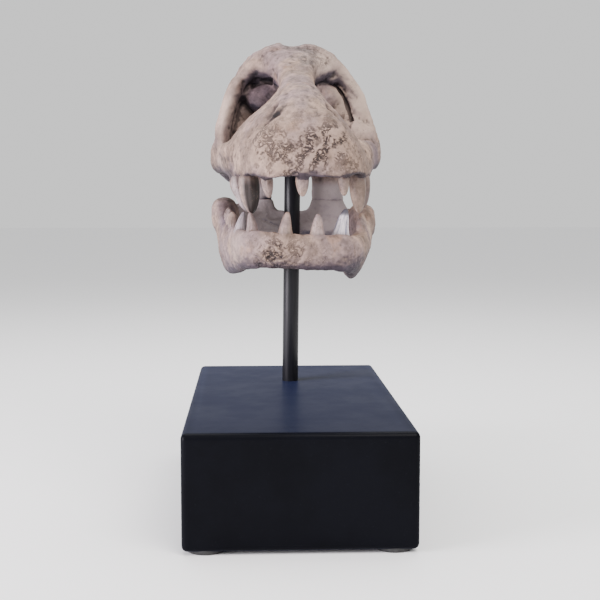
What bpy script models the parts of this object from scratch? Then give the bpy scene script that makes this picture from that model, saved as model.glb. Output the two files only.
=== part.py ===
"""A desk-size cast of a Tyrannosaurus skull on a rod and a black block.

Metres, +Z up. The snout points to -Y, and the origin is the middle of the underside of the block's feet.
The skull's own places are written (x, back, z): x from its midline, back from the tip of the snout, z above
the table. The skull is then moved over the block, a little askew, as it was cast.
"""

import math

import bmesh
import bpy
from mathutils import Matrix, Vector

# ---------------------------------------------------------------- driving dimensions
BASE_WIDTH = 0.120
BASE_LENGTH = 0.226
BASE_HEIGHT = 0.058
BASE_EDGE = 0.0035
FOOT_RADIUS = 0.010
FOOT_HEIGHT = 0.004
FOOT_INSET = (0.012, 0.011)  # from the block's sides and ends to a foot's middle
ROD_RADIUS = 0.005
ROD_Y = 0.046
ROD_TOP = 0.212
ROD_LEAN = 0.0015  # the rod's top stands this far to +X of its foot
ROD_SOCKET_DEPTH = 0.026

SKULL_X = 0.0020  # the skull's midline at the height of the nose
SKULL_TILT_Z = 0.245
SKULL_LEAN = 0.040  # its lower parts stand a little to +X, by this share of their depth below that height
SKULL_RISE = (0.006, 0.030)  # how much its +X side rises, at the snout and behind the nose openings
SNOUT_Y = -0.082
LIP_Z = 0.189  # lower edge of the upper jaw
JAW_X = 0.0018
JAW_DROP = 0.042  # the lower jaw's +X side hangs lower
JAW_PINCH = 0.15  # and its lower edge is drawn in
PLATES_X = 0.0016

FIT_GAP = 0.0003  # between neighbours that touch
SNOUT_CUT = 0.092  # back of the snout node, ahead of the eye sockets
CHEEK_CUT = (0.0352, 0.022, 0.160)  # inner side of the cheek nodes, the same further back, and where it steps
CHEEK_CUT_Z = 0.2155
PLATE_CUT_Z = 0.1768  # the plates behind the mouth part here, between skull and lower jaw

VOXEL = 0.0011
SOFTENING = 0.0004  # what smoothing takes off a tooth's radius
ROOT_DEPTH = 0.0042
FACES = {  # triangles of each cast node
    "snout": 2200,
    "cranium": 2740,
    "cheek_left": 400,
    "cheek_right": 400,
    "jaw_left": 1150,
    "jaw_right": 1150,
}
ROOM = 0.4  # reach of the cutting boxes, past everything


# ---------------------------------------------------------------- helpers
def start_scene():
    for old in list(bpy.data.objects):
        bpy.data.objects.remove(old)
    parts = bpy.data.collections.new("dinosaur_skull")
    cutters = bpy.data.collections.new("cutters")
    for collection in (parts, cutters):
        bpy.context.scene.collection.children.link(collection)
    return parts, cutters


def material(name, colour, roughness, metallic=0.0):
    made = bpy.data.materials.new(name)
    made.use_nodes = True
    shader = made.node_tree.nodes["Principled BSDF"]
    shader.inputs["Base Color"].default_value = (*colour, 1.0)
    shader.inputs["Roughness"].default_value = roughness
    shader.inputs["Metallic"].default_value = metallic
    return made


def blend(values, t):
    """Catmull-Rom value at t, counted in stations, through a list of equal-length tuples."""
    last = len(values) - 1
    i = min(int(t), last - 1)
    f = t - i
    p0, p1, p2, p3 = (values[min(max(k, 0), last)] for k in (i - 1, i, i + 1, i + 2))
    return tuple(
        0.5 * (2 * b + (c - a) * f + (2 * a - 5 * b + 4 * c - d) * f * f + (3 * b - a - 3 * c + d) * f**3)
        for a, b, c, d in zip(p0, p1, p2, p3)
    )


def skin_rings(bm, rings):
    """Joins rings of as many points each into one closed body, with a fan over each end."""
    made = [[bm.verts.new(point) for point in ring] for ring in rings]
    count = len(made[0])
    faces = []
    for near, far in zip(made, made[1:]):
        for k in range(count):
            faces.append(bm.faces.new((near[k], near[(k + 1) % count], far[(k + 1) % count], far[k])))
    for ring, way in ((made[0], -1), (made[-1], 1)):
        middle = bm.verts.new(sum((v.co for v in ring), Vector()) / count)
        for k in range(count):
            faces.append(bm.faces.new((ring[k], ring[(k + 1) % count], middle)[::way]))
    for face in faces:
        face.normal_update()
    volume = sum(face.calc_center_median().dot(face.normal) * face.calc_area() for face in faces)
    if volume < 0:
        bmesh.ops.reverse_faces(bm, faces=faces)


def bar(bm, stations, up, mirror=True, square=1.0, steps=4, sides=14):
    """A bone bar through stations (x, back, z, half thickness, half depth), with the depth along up.

    A sixth value in a station leans its depth outwards, and square under 1 makes the section boxier.
    """
    for side in (1, -1) if mirror else (1,):
        count = (len(stations) - 1) * steps
        samples = [blend(stations, k / steps) for k in range(count + 1)]
        middles = [Vector((side * s[0], s[1], s[2])) for s in samples]
        rings = []
        for k, sample in enumerate(samples):
            lean = side * sample[5] if len(sample) > 5 else 0.0
            upright = Vector(up) + Vector((lean, 0.0, 0.0))
            along = (middles[min(k + 1, count)] - middles[max(k - 1, 0)]).normalized()
            deep = (upright - along * along.dot(upright)).normalized()
            thick = along.cross(deep)
            shrink = 0.62 if k in (0, count) else 1.0
            ring = []
            for n in range(sides):
                turn = 2 * math.pi * (n + 0.5) / sides
                wide = math.copysign(abs(math.cos(turn)) ** square, math.cos(turn))
                high = math.copysign(abs(math.sin(turn)) ** square, math.sin(turn))
                ring.append(middles[k] + (thick * sample[3] * wide + deep * sample[4] * high) * shrink)
            rings.append(ring)
        skin_rings(bm, rings)


def knob(bm, middle, radii, mirror=True):
    """An ellipsoid, on both sides of the midline unless mirror is False."""
    for side in (1, -1) if mirror else (1,):
        place = Matrix.Translation((side * middle[0], middle[1], middle[2]))
        bmesh.ops.create_uvsphere(
            bm, u_segments=16, v_segments=10, radius=1.0, matrix=place @ Matrix.Diagonal((*radii, 1.0))
        )


def wall(bm, outline, back, half):
    """A flat wall across the skull on both sides, from its outline of (x, z) places."""
    for side in (1, -1):
        rings = [[Vector((side * x, place, z)) for x, z in outline] for place in (back - half, back + half)]
        skin_rings(bm, rings)


def half_section(lip, ridge, low, high, vault, swell):
    """Points of a snout's section from the palate's middle out to the lip and up to the ridge, as (x, z)."""
    lean, pinch = swell
    points = [(lip * s, low + vault * (1 - s**3)) for s in (0.0, 0.35, 0.65, 0.86)]
    for h in (0.02, 0.1, 0.22, 0.36, 0.5, 0.62, 0.74, 0.85, 0.94):
        points.append((ridge + (lip - ridge) * (1 - h**lean) ** pinch, low + (high - low) * h))
    points.append((ridge * 0.62, low + (high - low) * 0.99))
    points.append((0.0, high + ridge * 0.06))
    return points


def snout_body(bm, stations, steps=4):
    """The snout's closed body.

    A station holds back, lip half width, ridge half width, low z, high z, vault, lean and pinch.
    """
    rings = []
    for k in range((len(stations) - 1) * steps + 1):
        back, lip, ridge, low, high, vault, lean, pinch = blend(stations, k / steps)
        right = half_section(lip, ridge, low, high, vault, (lean, pinch))
        ring = [(x, back, z) for x, z in right] + [(-x, back, z) for x, z in reversed(right[1:-1])]
        rings.append(ring)
    skin_rings(bm, rings)


def tooth(bm, root, length, radius, way, lean, mirror=True):
    """A blunt peg. root is (x, back, z), way is 1 up or -1 down, and lean is the tip's shift (x, back)."""
    root_end = (-ROOT_DEPTH / length, 0.8)
    profile = (root_end, (0.0, 1.0), (0.3, 0.98), (0.58, 0.86), (0.8, 0.66), (0.94, 0.42), (1.0, 0.18))
    for side in (1, -1) if mirror else (1,):
        rings = []
        for along, width in profile:
            bend = max(along, 0.0) ** 1.6
            x = side * (root[0] + lean[0] * bend)
            middle = Vector((x, root[1] + lean[1] * bend, root[2] + way * length * along))
            turns = [2 * math.pi * n / 10 for n in range(10)]
            rings.append([
                middle + Vector((math.cos(turn), math.sin(turn), 0.0)) * (radius * width + SOFTENING)
                for turn in turns
            ])
        skin_rings(bm, rings)


def curve_at(outline, back):
    """Half width of a plan outline [(back, half width), ...] at a distance behind the snout."""
    for (b0, w0), (b1, w1) in zip(outline, outline[1:]):
        if back <= b1:
            return w0 + (w1 - w0) * (back - b0) / (b1 - b0)
    return outline[-1][1]


# ---------------------------------------------------------------- the skull's upper part
UPPER_TOOTH_LINE = [(0.010, 0.0240), (0.024, 0.0287), (0.036, 0.0308), (0.060, 0.0350), (0.095, 0.0402)]
LOWER_TOOTH_LINE = [(0.010, 0.0210), (0.024, 0.0295), (0.036, 0.0325), (0.060, 0.0370), (0.095, 0.0410)]


def snout_shapes(bm):
    snout_body(bm, [
        (-0.0005, 0.0120, 0.0040, 0.1900, 0.2015, 0.001, 2.0, 0.50),
        (0.0008, 0.0190, 0.0060, 0.1890, 0.2080, 0.002, 2.2, 0.50),
        (0.0040, 0.0250, 0.0080, LIP_Z, 0.2160, 0.004, 2.4, 0.60),
        (0.0105, 0.0298, 0.0090, LIP_Z, 0.2245, 0.006, 2.4, 0.85),
        (0.0205, 0.0336, 0.0090, LIP_Z, 0.2325, 0.007, 2.3, 1.20),
        (0.0335, 0.0362, 0.0085, LIP_Z, 0.2390, 0.008, 2.2, 1.55),
        (0.0475, 0.0382, 0.0085, LIP_Z, 0.2435, 0.008, 2.2, 1.80),
        (0.0610, 0.0396, 0.0085, 0.1892, 0.2470, 0.008, 2.2, 1.95),
        (0.0665, 0.0370, 0.0080, 0.1910, 0.2465, 0.008, 2.2, 1.95),
        (0.0695, 0.0300, 0.0060, 0.1950, 0.2450, 0.008, 2.2, 1.95),
    ])
    # nasal bones, from the snout up to the forehead
    bar(bm, [
        (0.0, 0.044, 0.2345, 0.0090, 0.0080),
        (0.0, 0.062, 0.2402, 0.0096, 0.0080),
        (0.0, 0.078, 0.2465, 0.0108, 0.0082),
        (0.0, 0.087, 0.2510, 0.0150, 0.0086),
        (0.0, 0.096, 0.2545, 0.0235, 0.0086),
        (0.0, 0.106, 0.2575, 0.0285, 0.0084),
        (0.0, 0.120, 0.2600, 0.0285, 0.0080),
        (0.0, 0.134, 0.2605, 0.0240, 0.0078),
        (0.0, 0.144, 0.2595, 0.0200, 0.0078),
    ], (0, 0, 1), mirror=False, square=0.85, sides=20)
    # upper jaw below the nose openings, running back to the cheek
    bar(bm, [
        (0.0300, 0.044, 0.1985, 0.0080, 0.0095),
        (0.0335, 0.060, 0.1995, 0.0078, 0.0108),
        (0.0375, 0.078, 0.2010, 0.0068, 0.0100),
        (0.0420, 0.096, 0.2030, 0.0062, 0.0092),
        (0.0452, 0.112, 0.2045, 0.0062, 0.0100),
    ], (0, 0, 1), square=0.8)
    # palate between the tooth rows
    bar(bm, [
        (0.0, 0.030, 0.2020, 0.0260, 0.0055),
        (0.0, 0.060, 0.2030, 0.0310, 0.0055),
        (0.0, 0.090, 0.2040, 0.0300, 0.0060),
        (0.0, 0.120, 0.2050, 0.0270, 0.0065),
        (0.0, 0.150, 0.2080, 0.0240, 0.0070),
    ], (0, 0, 1), mirror=False)


def cranium_shapes(bm):
    # forehead and the arch in front of each eye socket
    bar(bm, [
        (-0.0100, 0.1070, 0.2655, 0.0056, 0.0135),
        (0.0, 0.1070, 0.2642, 0.0054, 0.0135),
        (0.0100, 0.1070, 0.2655, 0.0056, 0.0135),
        (0.0196, 0.1070, 0.2610, 0.0055, 0.0130),
        (0.0262, 0.1070, 0.2545, 0.0055, 0.0118),
        (0.0326, 0.1075, 0.2462, 0.0054, 0.0095),
        (0.0380, 0.1080, 0.2372, 0.0053, 0.0080),
        (0.0406, 0.1085, 0.2280, 0.0052, 0.0076),
        (0.0433, 0.1100, 0.2185, 0.0054, 0.0085),
        (0.0462, 0.1120, 0.2080, 0.0058, 0.0110),
    ], (0, 1, 0), square=0.8)
    # brow, back along the top of the eye socket to the corner of the skull
    bar(bm, [
        (0.0155, 0.108, 0.2610, 0.0066, 0.0072),
        (0.0200, 0.119, 0.2612, 0.0064, 0.0072),
        (0.0250, 0.131, 0.2590, 0.0062, 0.0072),
        (0.0300, 0.144, 0.2545, 0.0060, 0.0070),
        (0.0332, 0.157, 0.2500, 0.0058, 0.0066),
        (0.0345, 0.170, 0.2455, 0.0058, 0.0070),
    ], (0, 0, 1))
    # postorbital bar behind the eye socket, and the socket's rear wall
    bar(bm, [
        (0.0270, 0.138, 0.2565, 0.0062, 0.0085),
        (0.0340, 0.138, 0.2470, 0.0058, 0.0080),
        (0.0395, 0.136, 0.2345, 0.0056, 0.0066),
        (0.0435, 0.134, 0.2220, 0.0054, 0.0062),
        (0.0466, 0.133, 0.2100, 0.0056, 0.0075),
        (0.0476, 0.133, 0.2035, 0.0054, 0.0085),
    ], (0, 1, 0))
    wall(bm, [
        (0.0150, 0.2590),
        (0.0260, 0.2590),
        (0.0330, 0.2480),
        (0.0385, 0.2350),
        (0.0425, 0.2220),
        (0.0450, 0.2080),
        (0.0420, 0.2020),
        (0.0150, 0.2040),
    ], 0.1370, 0.0024)
    # braincase: from the rounded lobe behind the nose openings to the back of the head
    bar(bm, [
        (0.0, 0.0960, 0.2385, 0.0240, 0.0060),
        (0.0, 0.0985, 0.2385, 0.0280, 0.0095),
        (0.0, 0.1060, 0.2380, 0.0305, 0.0112),
        (0.0, 0.1180, 0.2400, 0.0295, 0.0150),
        (0.0, 0.1300, 0.2400, 0.0265, 0.0180),
    ], (0, 0, 1), mirror=False, square=0.85, sides=20)
    bar(bm, [
        (0.0, 0.1010, 0.2240, 0.0200, 0.0200),
        (0.0, 0.1100, 0.2260, 0.0235, 0.0230),
        (0.0, 0.1240, 0.2320, 0.0245, 0.0280),
        (0.0, 0.1400, 0.2330, 0.0225, 0.0280),
        (0.0, 0.1560, 0.2325, 0.0190, 0.0265),
        (0.0, 0.1720, 0.2335, 0.0190, 0.0255),
        (0.0, 0.1800, 0.2345, 0.0180, 0.0220),
    ], (0, 0, 1), mirror=False, square=0.85, sides=20)
    # crest along the top and across the back
    bar(bm, [
        (0.0, 0.132, 0.2605, 0.0130, 0.0070),
        (0.0, 0.146, 0.2595, 0.0060, 0.0080),
        (0.0, 0.160, 0.2595, 0.0050, 0.0085),
        (0.0, 0.172, 0.2615, 0.0060, 0.0090),
    ], (0, 0, 1), mirror=False)
    bar(bm, [
        (-0.006, 0.1742, 0.2560, 0.0048, 0.0155),
        (0.006, 0.1742, 0.2560, 0.0048, 0.0155),
        (0.015, 0.1740, 0.2545, 0.0046, 0.0145),
        (0.025, 0.1720, 0.2505, 0.0044, 0.0120),
        (0.034, 0.1690, 0.2455, 0.0046, 0.0090),
    ], (0, 0, 1))
    # side processes of the back of the head
    bar(bm, [
        (0.010, 0.1760, 0.2330, 0.0050, 0.0090),
        (0.022, 0.1770, 0.2320, 0.0042, 0.0085),
        (0.035, 0.1750, 0.2280, 0.0040, 0.0075),
    ], (0, 0, 1))
    knob(bm, (0.0, 0.1840, 0.2270), (0.0070, 0.0085, 0.0065), mirror=False)
    # quadrate, from the upper back corner down to the jaw joint
    bar(bm, [
        (0.0350, 0.168, 0.2480, 0.0055, 0.0080),
        (0.0385, 0.172, 0.2340, 0.0050, 0.0070),
        (0.0395, 0.175, 0.2160, 0.0050, 0.0068),
        (0.0370, 0.177, 0.2000, 0.0055, 0.0075),
        (0.0325, 0.178, 0.1900, 0.0062, 0.0070),
        (0.0300, 0.178, 0.1840, 0.0070, 0.0060),
    ], (0, 1, 0))
    # forward spur of the quadrate bar into the side opening
    bar(bm, [
        (0.0400, 0.173, 0.2250, 0.0036, 0.0078),
        (0.0415, 0.163, 0.2260, 0.0032, 0.0065),
        (0.0425, 0.155, 0.2265, 0.0028, 0.0040),
    ], (0, 0, 1))


def plate_shapes(bm):
    """The plates behind the mouth, on each side of the rod, from the palate to the lower jaw's web."""
    bar(bm, [
        (0.0195, 0.1420, 0.2100, 0.0105, 0.0062),
        (0.0205, 0.1415, 0.1980, 0.0084, 0.0054),
        (0.0218, 0.1410, 0.1880, 0.0096, 0.0050),
        (0.0230, 0.1405, 0.1780, 0.0107, 0.0050),
        (0.0230, 0.1400, 0.1720, 0.0126, 0.0048),
        (0.0230, 0.1400, 0.1640, 0.0150, 0.0046),
        (0.0240, 0.1400, 0.1560, 0.0160, 0.0044),
    ], (0, 1, 0), square=0.7)


def cheek_shapes(bm):
    # cheekbone and the bar behind it
    bar(bm, [
        (0.0440, 0.104, 0.2045, 0.0060, 0.0095),
        (0.0468, 0.117, 0.2052, 0.0062, 0.0104),
        (0.0476, 0.131, 0.2052, 0.0060, 0.0102),
        (0.0467, 0.146, 0.2030, 0.0054, 0.0080),
        (0.0435, 0.161, 0.1992, 0.0050, 0.0078),
        (0.0395, 0.175, 0.1960, 0.0050, 0.0085),
    ], (0, 0, 1), square=0.85)
    knob(bm, (0.0475, 0.124, 0.2020), (0.0058, 0.0115, 0.0078))


# x, back, length, radius and the tip's lean to +X
SHORT_UPPER_TEETH = (
    (-0.0200, 0.0095, 0.0105, 0.0031, 0.0006),
    (-0.0016, 0.0060, 0.0098, 0.0034, 0.0003),
    (0.0205, 0.0105, 0.0098, 0.0033, 0.0004),
)
# back, length and radius, on both sides
SIDE_UPPER_TEETH = (
    (0.0245, 0.0188, 0.0046),
    (0.0365, 0.0178, 0.0043),
    (0.0485, 0.0155, 0.0041),
    (0.0590, 0.0135, 0.0038),
    (0.0685, 0.0115, 0.0035),
    (0.0770, 0.0095, 0.0031),
    (0.0845, 0.0075, 0.0027),
)


def upper_teeth(bm):
    for x, back, length, radius, lean in SHORT_UPPER_TEETH:
        tooth(bm, (x, back, LIP_Z), length, radius, -1, (lean, 0.0010), mirror=False)
    for back, length, radius in SIDE_UPPER_TEETH:
        root = (curve_at(UPPER_TOOTH_LINE, back), back, LIP_Z + 0.0003)
        tooth(bm, root, length, radius, -1, (0.0, 0.0030))


# ---------------------------------------------------------------- the lower jaw
JAW_PLATE = (  # x, back, middle z, half thickness, half height, outward lean
    (-0.0150, 0.0085, 0.1504, 0.0056, 0.0098, 0.0),
    (0.0000, 0.0072, 0.1504, 0.0056, 0.0097, 0.0),
    (0.0150, 0.0085, 0.1504, 0.0056, 0.0098, 0.0),
    (0.0242, 0.0130, 0.1502, 0.0056, 0.0100, 0.02),
    (0.0295, 0.0215, 0.1495, 0.0056, 0.0106, 0.04),
    (0.0325, 0.0360, 0.1482, 0.0056, 0.0118, 0.06),
    (0.0356, 0.0560, 0.1478, 0.0055, 0.0136, 0.08),
    (0.0385, 0.0760, 0.1482, 0.0054, 0.0158, 0.10),
    (0.0404, 0.0950, 0.1500, 0.0055, 0.0190, 0.12),
    (0.0412, 0.1120, 0.1525, 0.0057, 0.0216, 0.12),
    (0.0408, 0.1290, 0.1540, 0.0056, 0.0214, 0.12),
    (0.0382, 0.1460, 0.1560, 0.0054, 0.0180, 0.10),
    (0.0340, 0.1620, 0.1600, 0.0052, 0.0138, 0.06),
    (0.0305, 0.1760, 0.1640, 0.0056, 0.0105, 0.02),
    (0.0290, 0.1880, 0.1650, 0.0054, 0.0082, 0.0),
)


def jaw_shapes(bm):
    bar(bm, JAW_PLATE, (0, 0, 1), square=0.8, sides=18)
    # thick upper edge behind the teeth
    bar(bm, [
        (0.0415, 0.098, 0.1630, 0.0060, 0.0068),
        (0.0423, 0.108, 0.1652, 0.0082, 0.0110),
        (0.0425, 0.122, 0.1658, 0.0085, 0.0114),
        (0.0408, 0.136, 0.1640, 0.0072, 0.0094),
        (0.0372, 0.150, 0.1622, 0.0056, 0.0068),
    ], (0, 0, 1), square=0.75)
    # jaw joint
    knob(bm, (0.0300, 0.1780, 0.1690), (0.0075, 0.0085, 0.0065))
    # web across the back of the mouth
    bar(bm, [
        (-0.0380, 0.1400, 0.1590, 0.0046, 0.0118),
        (-0.0200, 0.1400, 0.1590, 0.0046, 0.0118),
        (0.0, 0.1400, 0.1590, 0.0046, 0.0118),
        (0.0200, 0.1400, 0.1590, 0.0046, 0.0118),
        (0.0380, 0.1400, 0.1590, 0.0046, 0.0118),
    ], (0, 0, 1), mirror=False, square=0.7)


# x, back, length, radius and the tip's lean to +X
FRONT_LOWER_TEETH = (
    (-0.0083, 0.0068, 0.0118, 0.0044, 0.0008),
    (0.0087, 0.0070, 0.0095, 0.0037, 0.0003),
    (0.0226, 0.0150, 0.0145, 0.0050, 0.0020),
    (-0.0250, 0.0165, 0.0105, 0.0036, -0.0008),
    (-0.0314, 0.0325, 0.0098, 0.0032, 0.0034),
    (0.0318, 0.0290, 0.0100, 0.0038, -0.0010),
)
# back, length and radius, on both sides
SIDE_LOWER_TEETH = (
    (0.0400, 0.0115, 0.0041),
    (0.0505, 0.0112, 0.0039),
    (0.0605, 0.0105, 0.0037),
    (0.0700, 0.0092, 0.0034),
    (0.0785, 0.0080, 0.0031),
    (0.0860, 0.0065, 0.0027),
)


def jaw_rim(back):
    """Height of the lower jaw's upper edge at a distance behind the snout."""
    return curve_at([(s[1], s[2] + s[4]) for s in JAW_PLATE[1:]], back)


def lower_teeth(bm):
    for x, back, length, radius, lean in FRONT_LOWER_TEETH:
        tooth(bm, (x, back, jaw_rim(back) - 0.0012), length, radius, 1, (lean, 0.0008), mirror=False)
    for back, length, radius in SIDE_LOWER_TEETH:
        root = (curve_at(LOWER_TOOTH_LINE, back), back, jaw_rim(back) - 0.0012)
        tooth(bm, root, length, radius, 1, (-0.0006, 0.0024))


# ---------------------------------------------------------------- the cast's slight skew
def share(value, start, end):
    """How far a value is from start to end, from 0 to 1."""
    return min(1.0, max(0.0, (value - start) / (end - start)))


def skull_place(point):
    """Where a point of the upper skull goes in the world."""
    x, back, z = point
    low_rise, high_rise = SKULL_RISE
    rise = (low_rise + (high_rise - low_rise) * share(back, 0.02, 0.11)) * share(z, 0.265, 0.220)
    return Vector((SKULL_X + x + (SKULL_TILT_Z - z) * SKULL_LEAN, SNOUT_Y + back, z + x * rise))


def jaw_place(point):
    """Where a point of the lower jaw goes in the world."""
    x, back, z = point
    inward = JAW_PINCH * max(0.0, x) * share(z, 0.152, 0.132)
    return Vector((JAW_X + x - inward, SNOUT_Y + back, z - x * JAW_DROP))


def plate_place(point):
    """Where a point of the plates behind the mouth goes in the world."""
    return Vector((PLATES_X + point[0], SNOUT_Y + point[1], point[2]))


# ---------------------------------------------------------------- solids from the shapes
def fused(name, placed_builders, collection):
    """One object whose shapes are fused by a voxel remesh, then softened like a cast."""
    mesh = bpy.data.meshes.new(name)
    bm = bmesh.new()
    for build, place in placed_builders:
        shapes = bmesh.new()
        build(shapes)
        for vert in shapes.verts:
            vert.co = place(vert.co)
        shapes.to_mesh(mesh)
        shapes.free()
        bm.from_mesh(mesh)
    bm.to_mesh(mesh)
    bm.free()
    made = bpy.data.objects.new(name, mesh)
    collection.objects.link(made)
    made.hide_render = True
    remesh = made.modifiers.new("fuse", "REMESH")
    remesh.mode = "VOXEL"
    remesh.voxel_size = VOXEL
    remesh.adaptivity = 0.0
    smooth = made.modifiers.new("soften", "SMOOTH")
    smooth.factor = 0.5
    smooth.iterations = 5
    return made


def hidden_object(name, bm, collection):
    """A cutter, which isn't a part of the model."""
    mesh = bpy.data.meshes.new(name)
    bm.to_mesh(mesh)
    bm.free()
    made = bpy.data.objects.new(name, mesh)
    collection.objects.link(made)
    made.hide_render = True
    made.display_type = "WIRE"
    return made


def box(name, low, high, collection):
    """A rectangular cutter between two corners."""
    bm = bmesh.new()
    bmesh.ops.create_cube(bm, size=1.0)
    bmesh.ops.scale(bm, vec=[b - a for a, b in zip(low, high)], verts=bm.verts)
    bmesh.ops.translate(bm, vec=[(a + b) / 2 for a, b in zip(low, high)], verts=bm.verts)
    return hidden_object(name, bm, collection)


def largest_shell(bm):
    """The vertices of the shell that has the most."""
    unseen, shells = set(bm.verts), []
    while unseen:
        shell, front = [], [unseen.pop()]
        while front:
            vert = front.pop()
            shell.append(vert)
            linked = {edge.other_vert(vert) for edge in vert.link_edges} & unseen
            unseen -= linked
            front.extend(linked)
        shells.append(shell)
    return set(max(shells, key=len))


def evaluated_copy(source, name, collection):
    """A new object with the evaluated mesh of source, without the sealed shells inside it."""
    bpy.context.view_layer.update()
    graph = bpy.context.evaluated_depsgraph_get()
    mesh = bpy.data.meshes.new_from_object(source.evaluated_get(graph))
    mesh.name = name
    bm = bmesh.new()
    bm.from_mesh(mesh)
    kept = largest_shell(bm)
    bmesh.ops.delete(bm, geom=[v for v in bm.verts if v not in kept], context="VERTS")
    bm.to_mesh(mesh)
    bm.free()
    made = bpy.data.objects.new(name, mesh)
    collection.objects.link(made)
    return made


def cut_out(target, cutter, operation):
    boolean = target.modifiers.new(f"{operation.lower()}_{cutter.name}", "BOOLEAN")
    boolean.operation = operation
    boolean.object = cutter
    boolean.solver = "EXACT"


def thin_to(target, faces):
    """Decimates to about this many triangles."""
    target.data.calc_loop_triangles()
    decimate = target.modifiers.new("thin", "DECIMATE")
    decimate.ratio = min(1.0, faces / len(target.data.loop_triangles))
    decimate.use_collapse_triangulate = True


def pocket(name, middle, radii, along, collection, both=True):
    """An ellipsoid cutter with its second radius along a direction, on both sides unless both is False."""
    bm = bmesh.new()
    for side in (1, -1) if both else (1,):
        toward = Vector((side * along[0], along[1], along[2]))
        turn = Vector((0, 1, 0)).rotation_difference(toward.normalized())
        set_in = (
            Matrix.Translation(skull_place((side * middle[0], middle[1], middle[2])))
            @ turn.to_matrix().to_4x4()
            @ Matrix.Diagonal((*radii, 1.0))
        )
        bmesh.ops.create_uvsphere(bm, u_segments=16, v_segments=10, radius=1.0, matrix=set_in)
    return hidden_object(name, bm, collection)


def prism(name, outline, low, high, collection):
    """An upright cutter over a plan outline."""
    bm = bmesh.new()
    floor = [bm.verts.new((x, y, low)) for x, y in outline]
    bm.faces.new(floor)
    grown = bmesh.ops.extrude_face_region(bm, geom=bm.faces[:])
    bmesh.ops.translate(
        bm, vec=(0, 0, high - low), verts=[v for v in grown["geom"] if isinstance(v, bmesh.types.BMVert)]
    )
    bmesh.ops.recalc_face_normals(bm, faces=bm.faces)
    return hidden_object(name, bm, collection)


def rod_between(name, radius, low, high, collection, sides=32):
    """A straight round bar between two points."""
    axis = Vector(high) - Vector(low)
    bm = bmesh.new()
    turn = Vector((0, 0, 1)).rotation_difference(axis.normalized()).to_matrix().to_4x4()
    place = Matrix.Translation((Vector(low) + Vector(high)) / 2) @ turn
    bmesh.ops.create_cone(
        bm, cap_ends=True, segments=sides, radius1=radius, radius2=radius, depth=axis.length, matrix=place
    )
    return hidden_object(name, bm, collection)


def finish_part(target, look):
    """Makes an object a part of the model, in one material."""
    target.hide_render = False
    target.display_type = "TEXTURED"
    target.data.materials.clear()
    target.data.materials.append(look)
    target.data.shade_smooth()
    target.data.set_sharp_from_angle(angle=math.radians(50))


def make_stand(parts, cutters):
    black = material("black_lacquer", (0.012, 0.013, 0.018), 0.35)
    steel = material("black_rod", (0.015, 0.015, 0.017), 0.30, 0.4)
    rubber = material("black_rubber", (0.02, 0.02, 0.02), 0.8)

    top = FOOT_HEIGHT + BASE_HEIGHT
    block = box(
        "stand_base",
        (-BASE_WIDTH / 2, -BASE_LENGTH / 2, FOOT_HEIGHT),
        (BASE_WIDTH / 2, BASE_LENGTH / 2, top),
        parts,
    )
    rounding = block.modifiers.new("edges", "BEVEL")
    rounding.width = BASE_EDGE
    rounding.segments = 3
    rounding.limit_method = "ANGLE"

    # the rod leans from the block's hole to the skull's midline
    def on_rod(z):
        return (ROD_LEAN * (z - top) / (LIP_Z - top), ROD_Y, z)

    socket = top - ROD_SOCKET_DEPTH
    hole = ROD_RADIUS + FIT_GAP
    rod = rod_between("stand_rod", ROD_RADIUS, on_rod(socket), on_rod(ROD_TOP), parts)
    low_hole = rod_between("low_hole", hole, on_rod(socket - FIT_GAP), on_rod(top + 0.02), cutters)
    high_hole = rod_between("high_hole", hole, on_rod(0.180), on_rod(ROD_TOP + FIT_GAP), cutters)
    cut_out(block, low_hole, "DIFFERENCE")
    finish_part(block, black)
    finish_part(rod, steel)

    for n, (sx, sy) in enumerate(((-1, -1), (1, -1), (1, 1), (-1, 1)), start=1):
        x = sx * (BASE_WIDTH / 2 - FOOT_INSET[0])
        y = sy * (BASE_LENGTH / 2 - FOOT_INSET[1])
        top = (x, y, FOOT_HEIGHT - FIT_GAP)
        foot = rod_between(f"stand_foot_{n}", FOOT_RADIUS, (x, y, 0.0), top, parts, 28)
        edge = foot.modifiers.new("edge", "BEVEL")
        edge.width = 0.0007
        edge.segments = 2
        edge.limit_method = "ANGLE"
        finish_part(foot, rubber)
    return high_hole


def cheek_outline(side, grow):
    """Plan of a cheek node's room, widened by grow."""
    x_front, x_back, step = CHEEK_CUT
    points = (
        (x_front - grow, SNOUT_CUT - grow),
        (ROOM, SNOUT_CUT - grow),
        (ROOM, ROOM),
        (x_back - grow, ROOM),
        (x_back - grow, step - grow),
        (x_front - grow, step - grow),
    )
    return [(SKULL_X + side * x, SNOUT_Y + back) for x, back in points]


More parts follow.
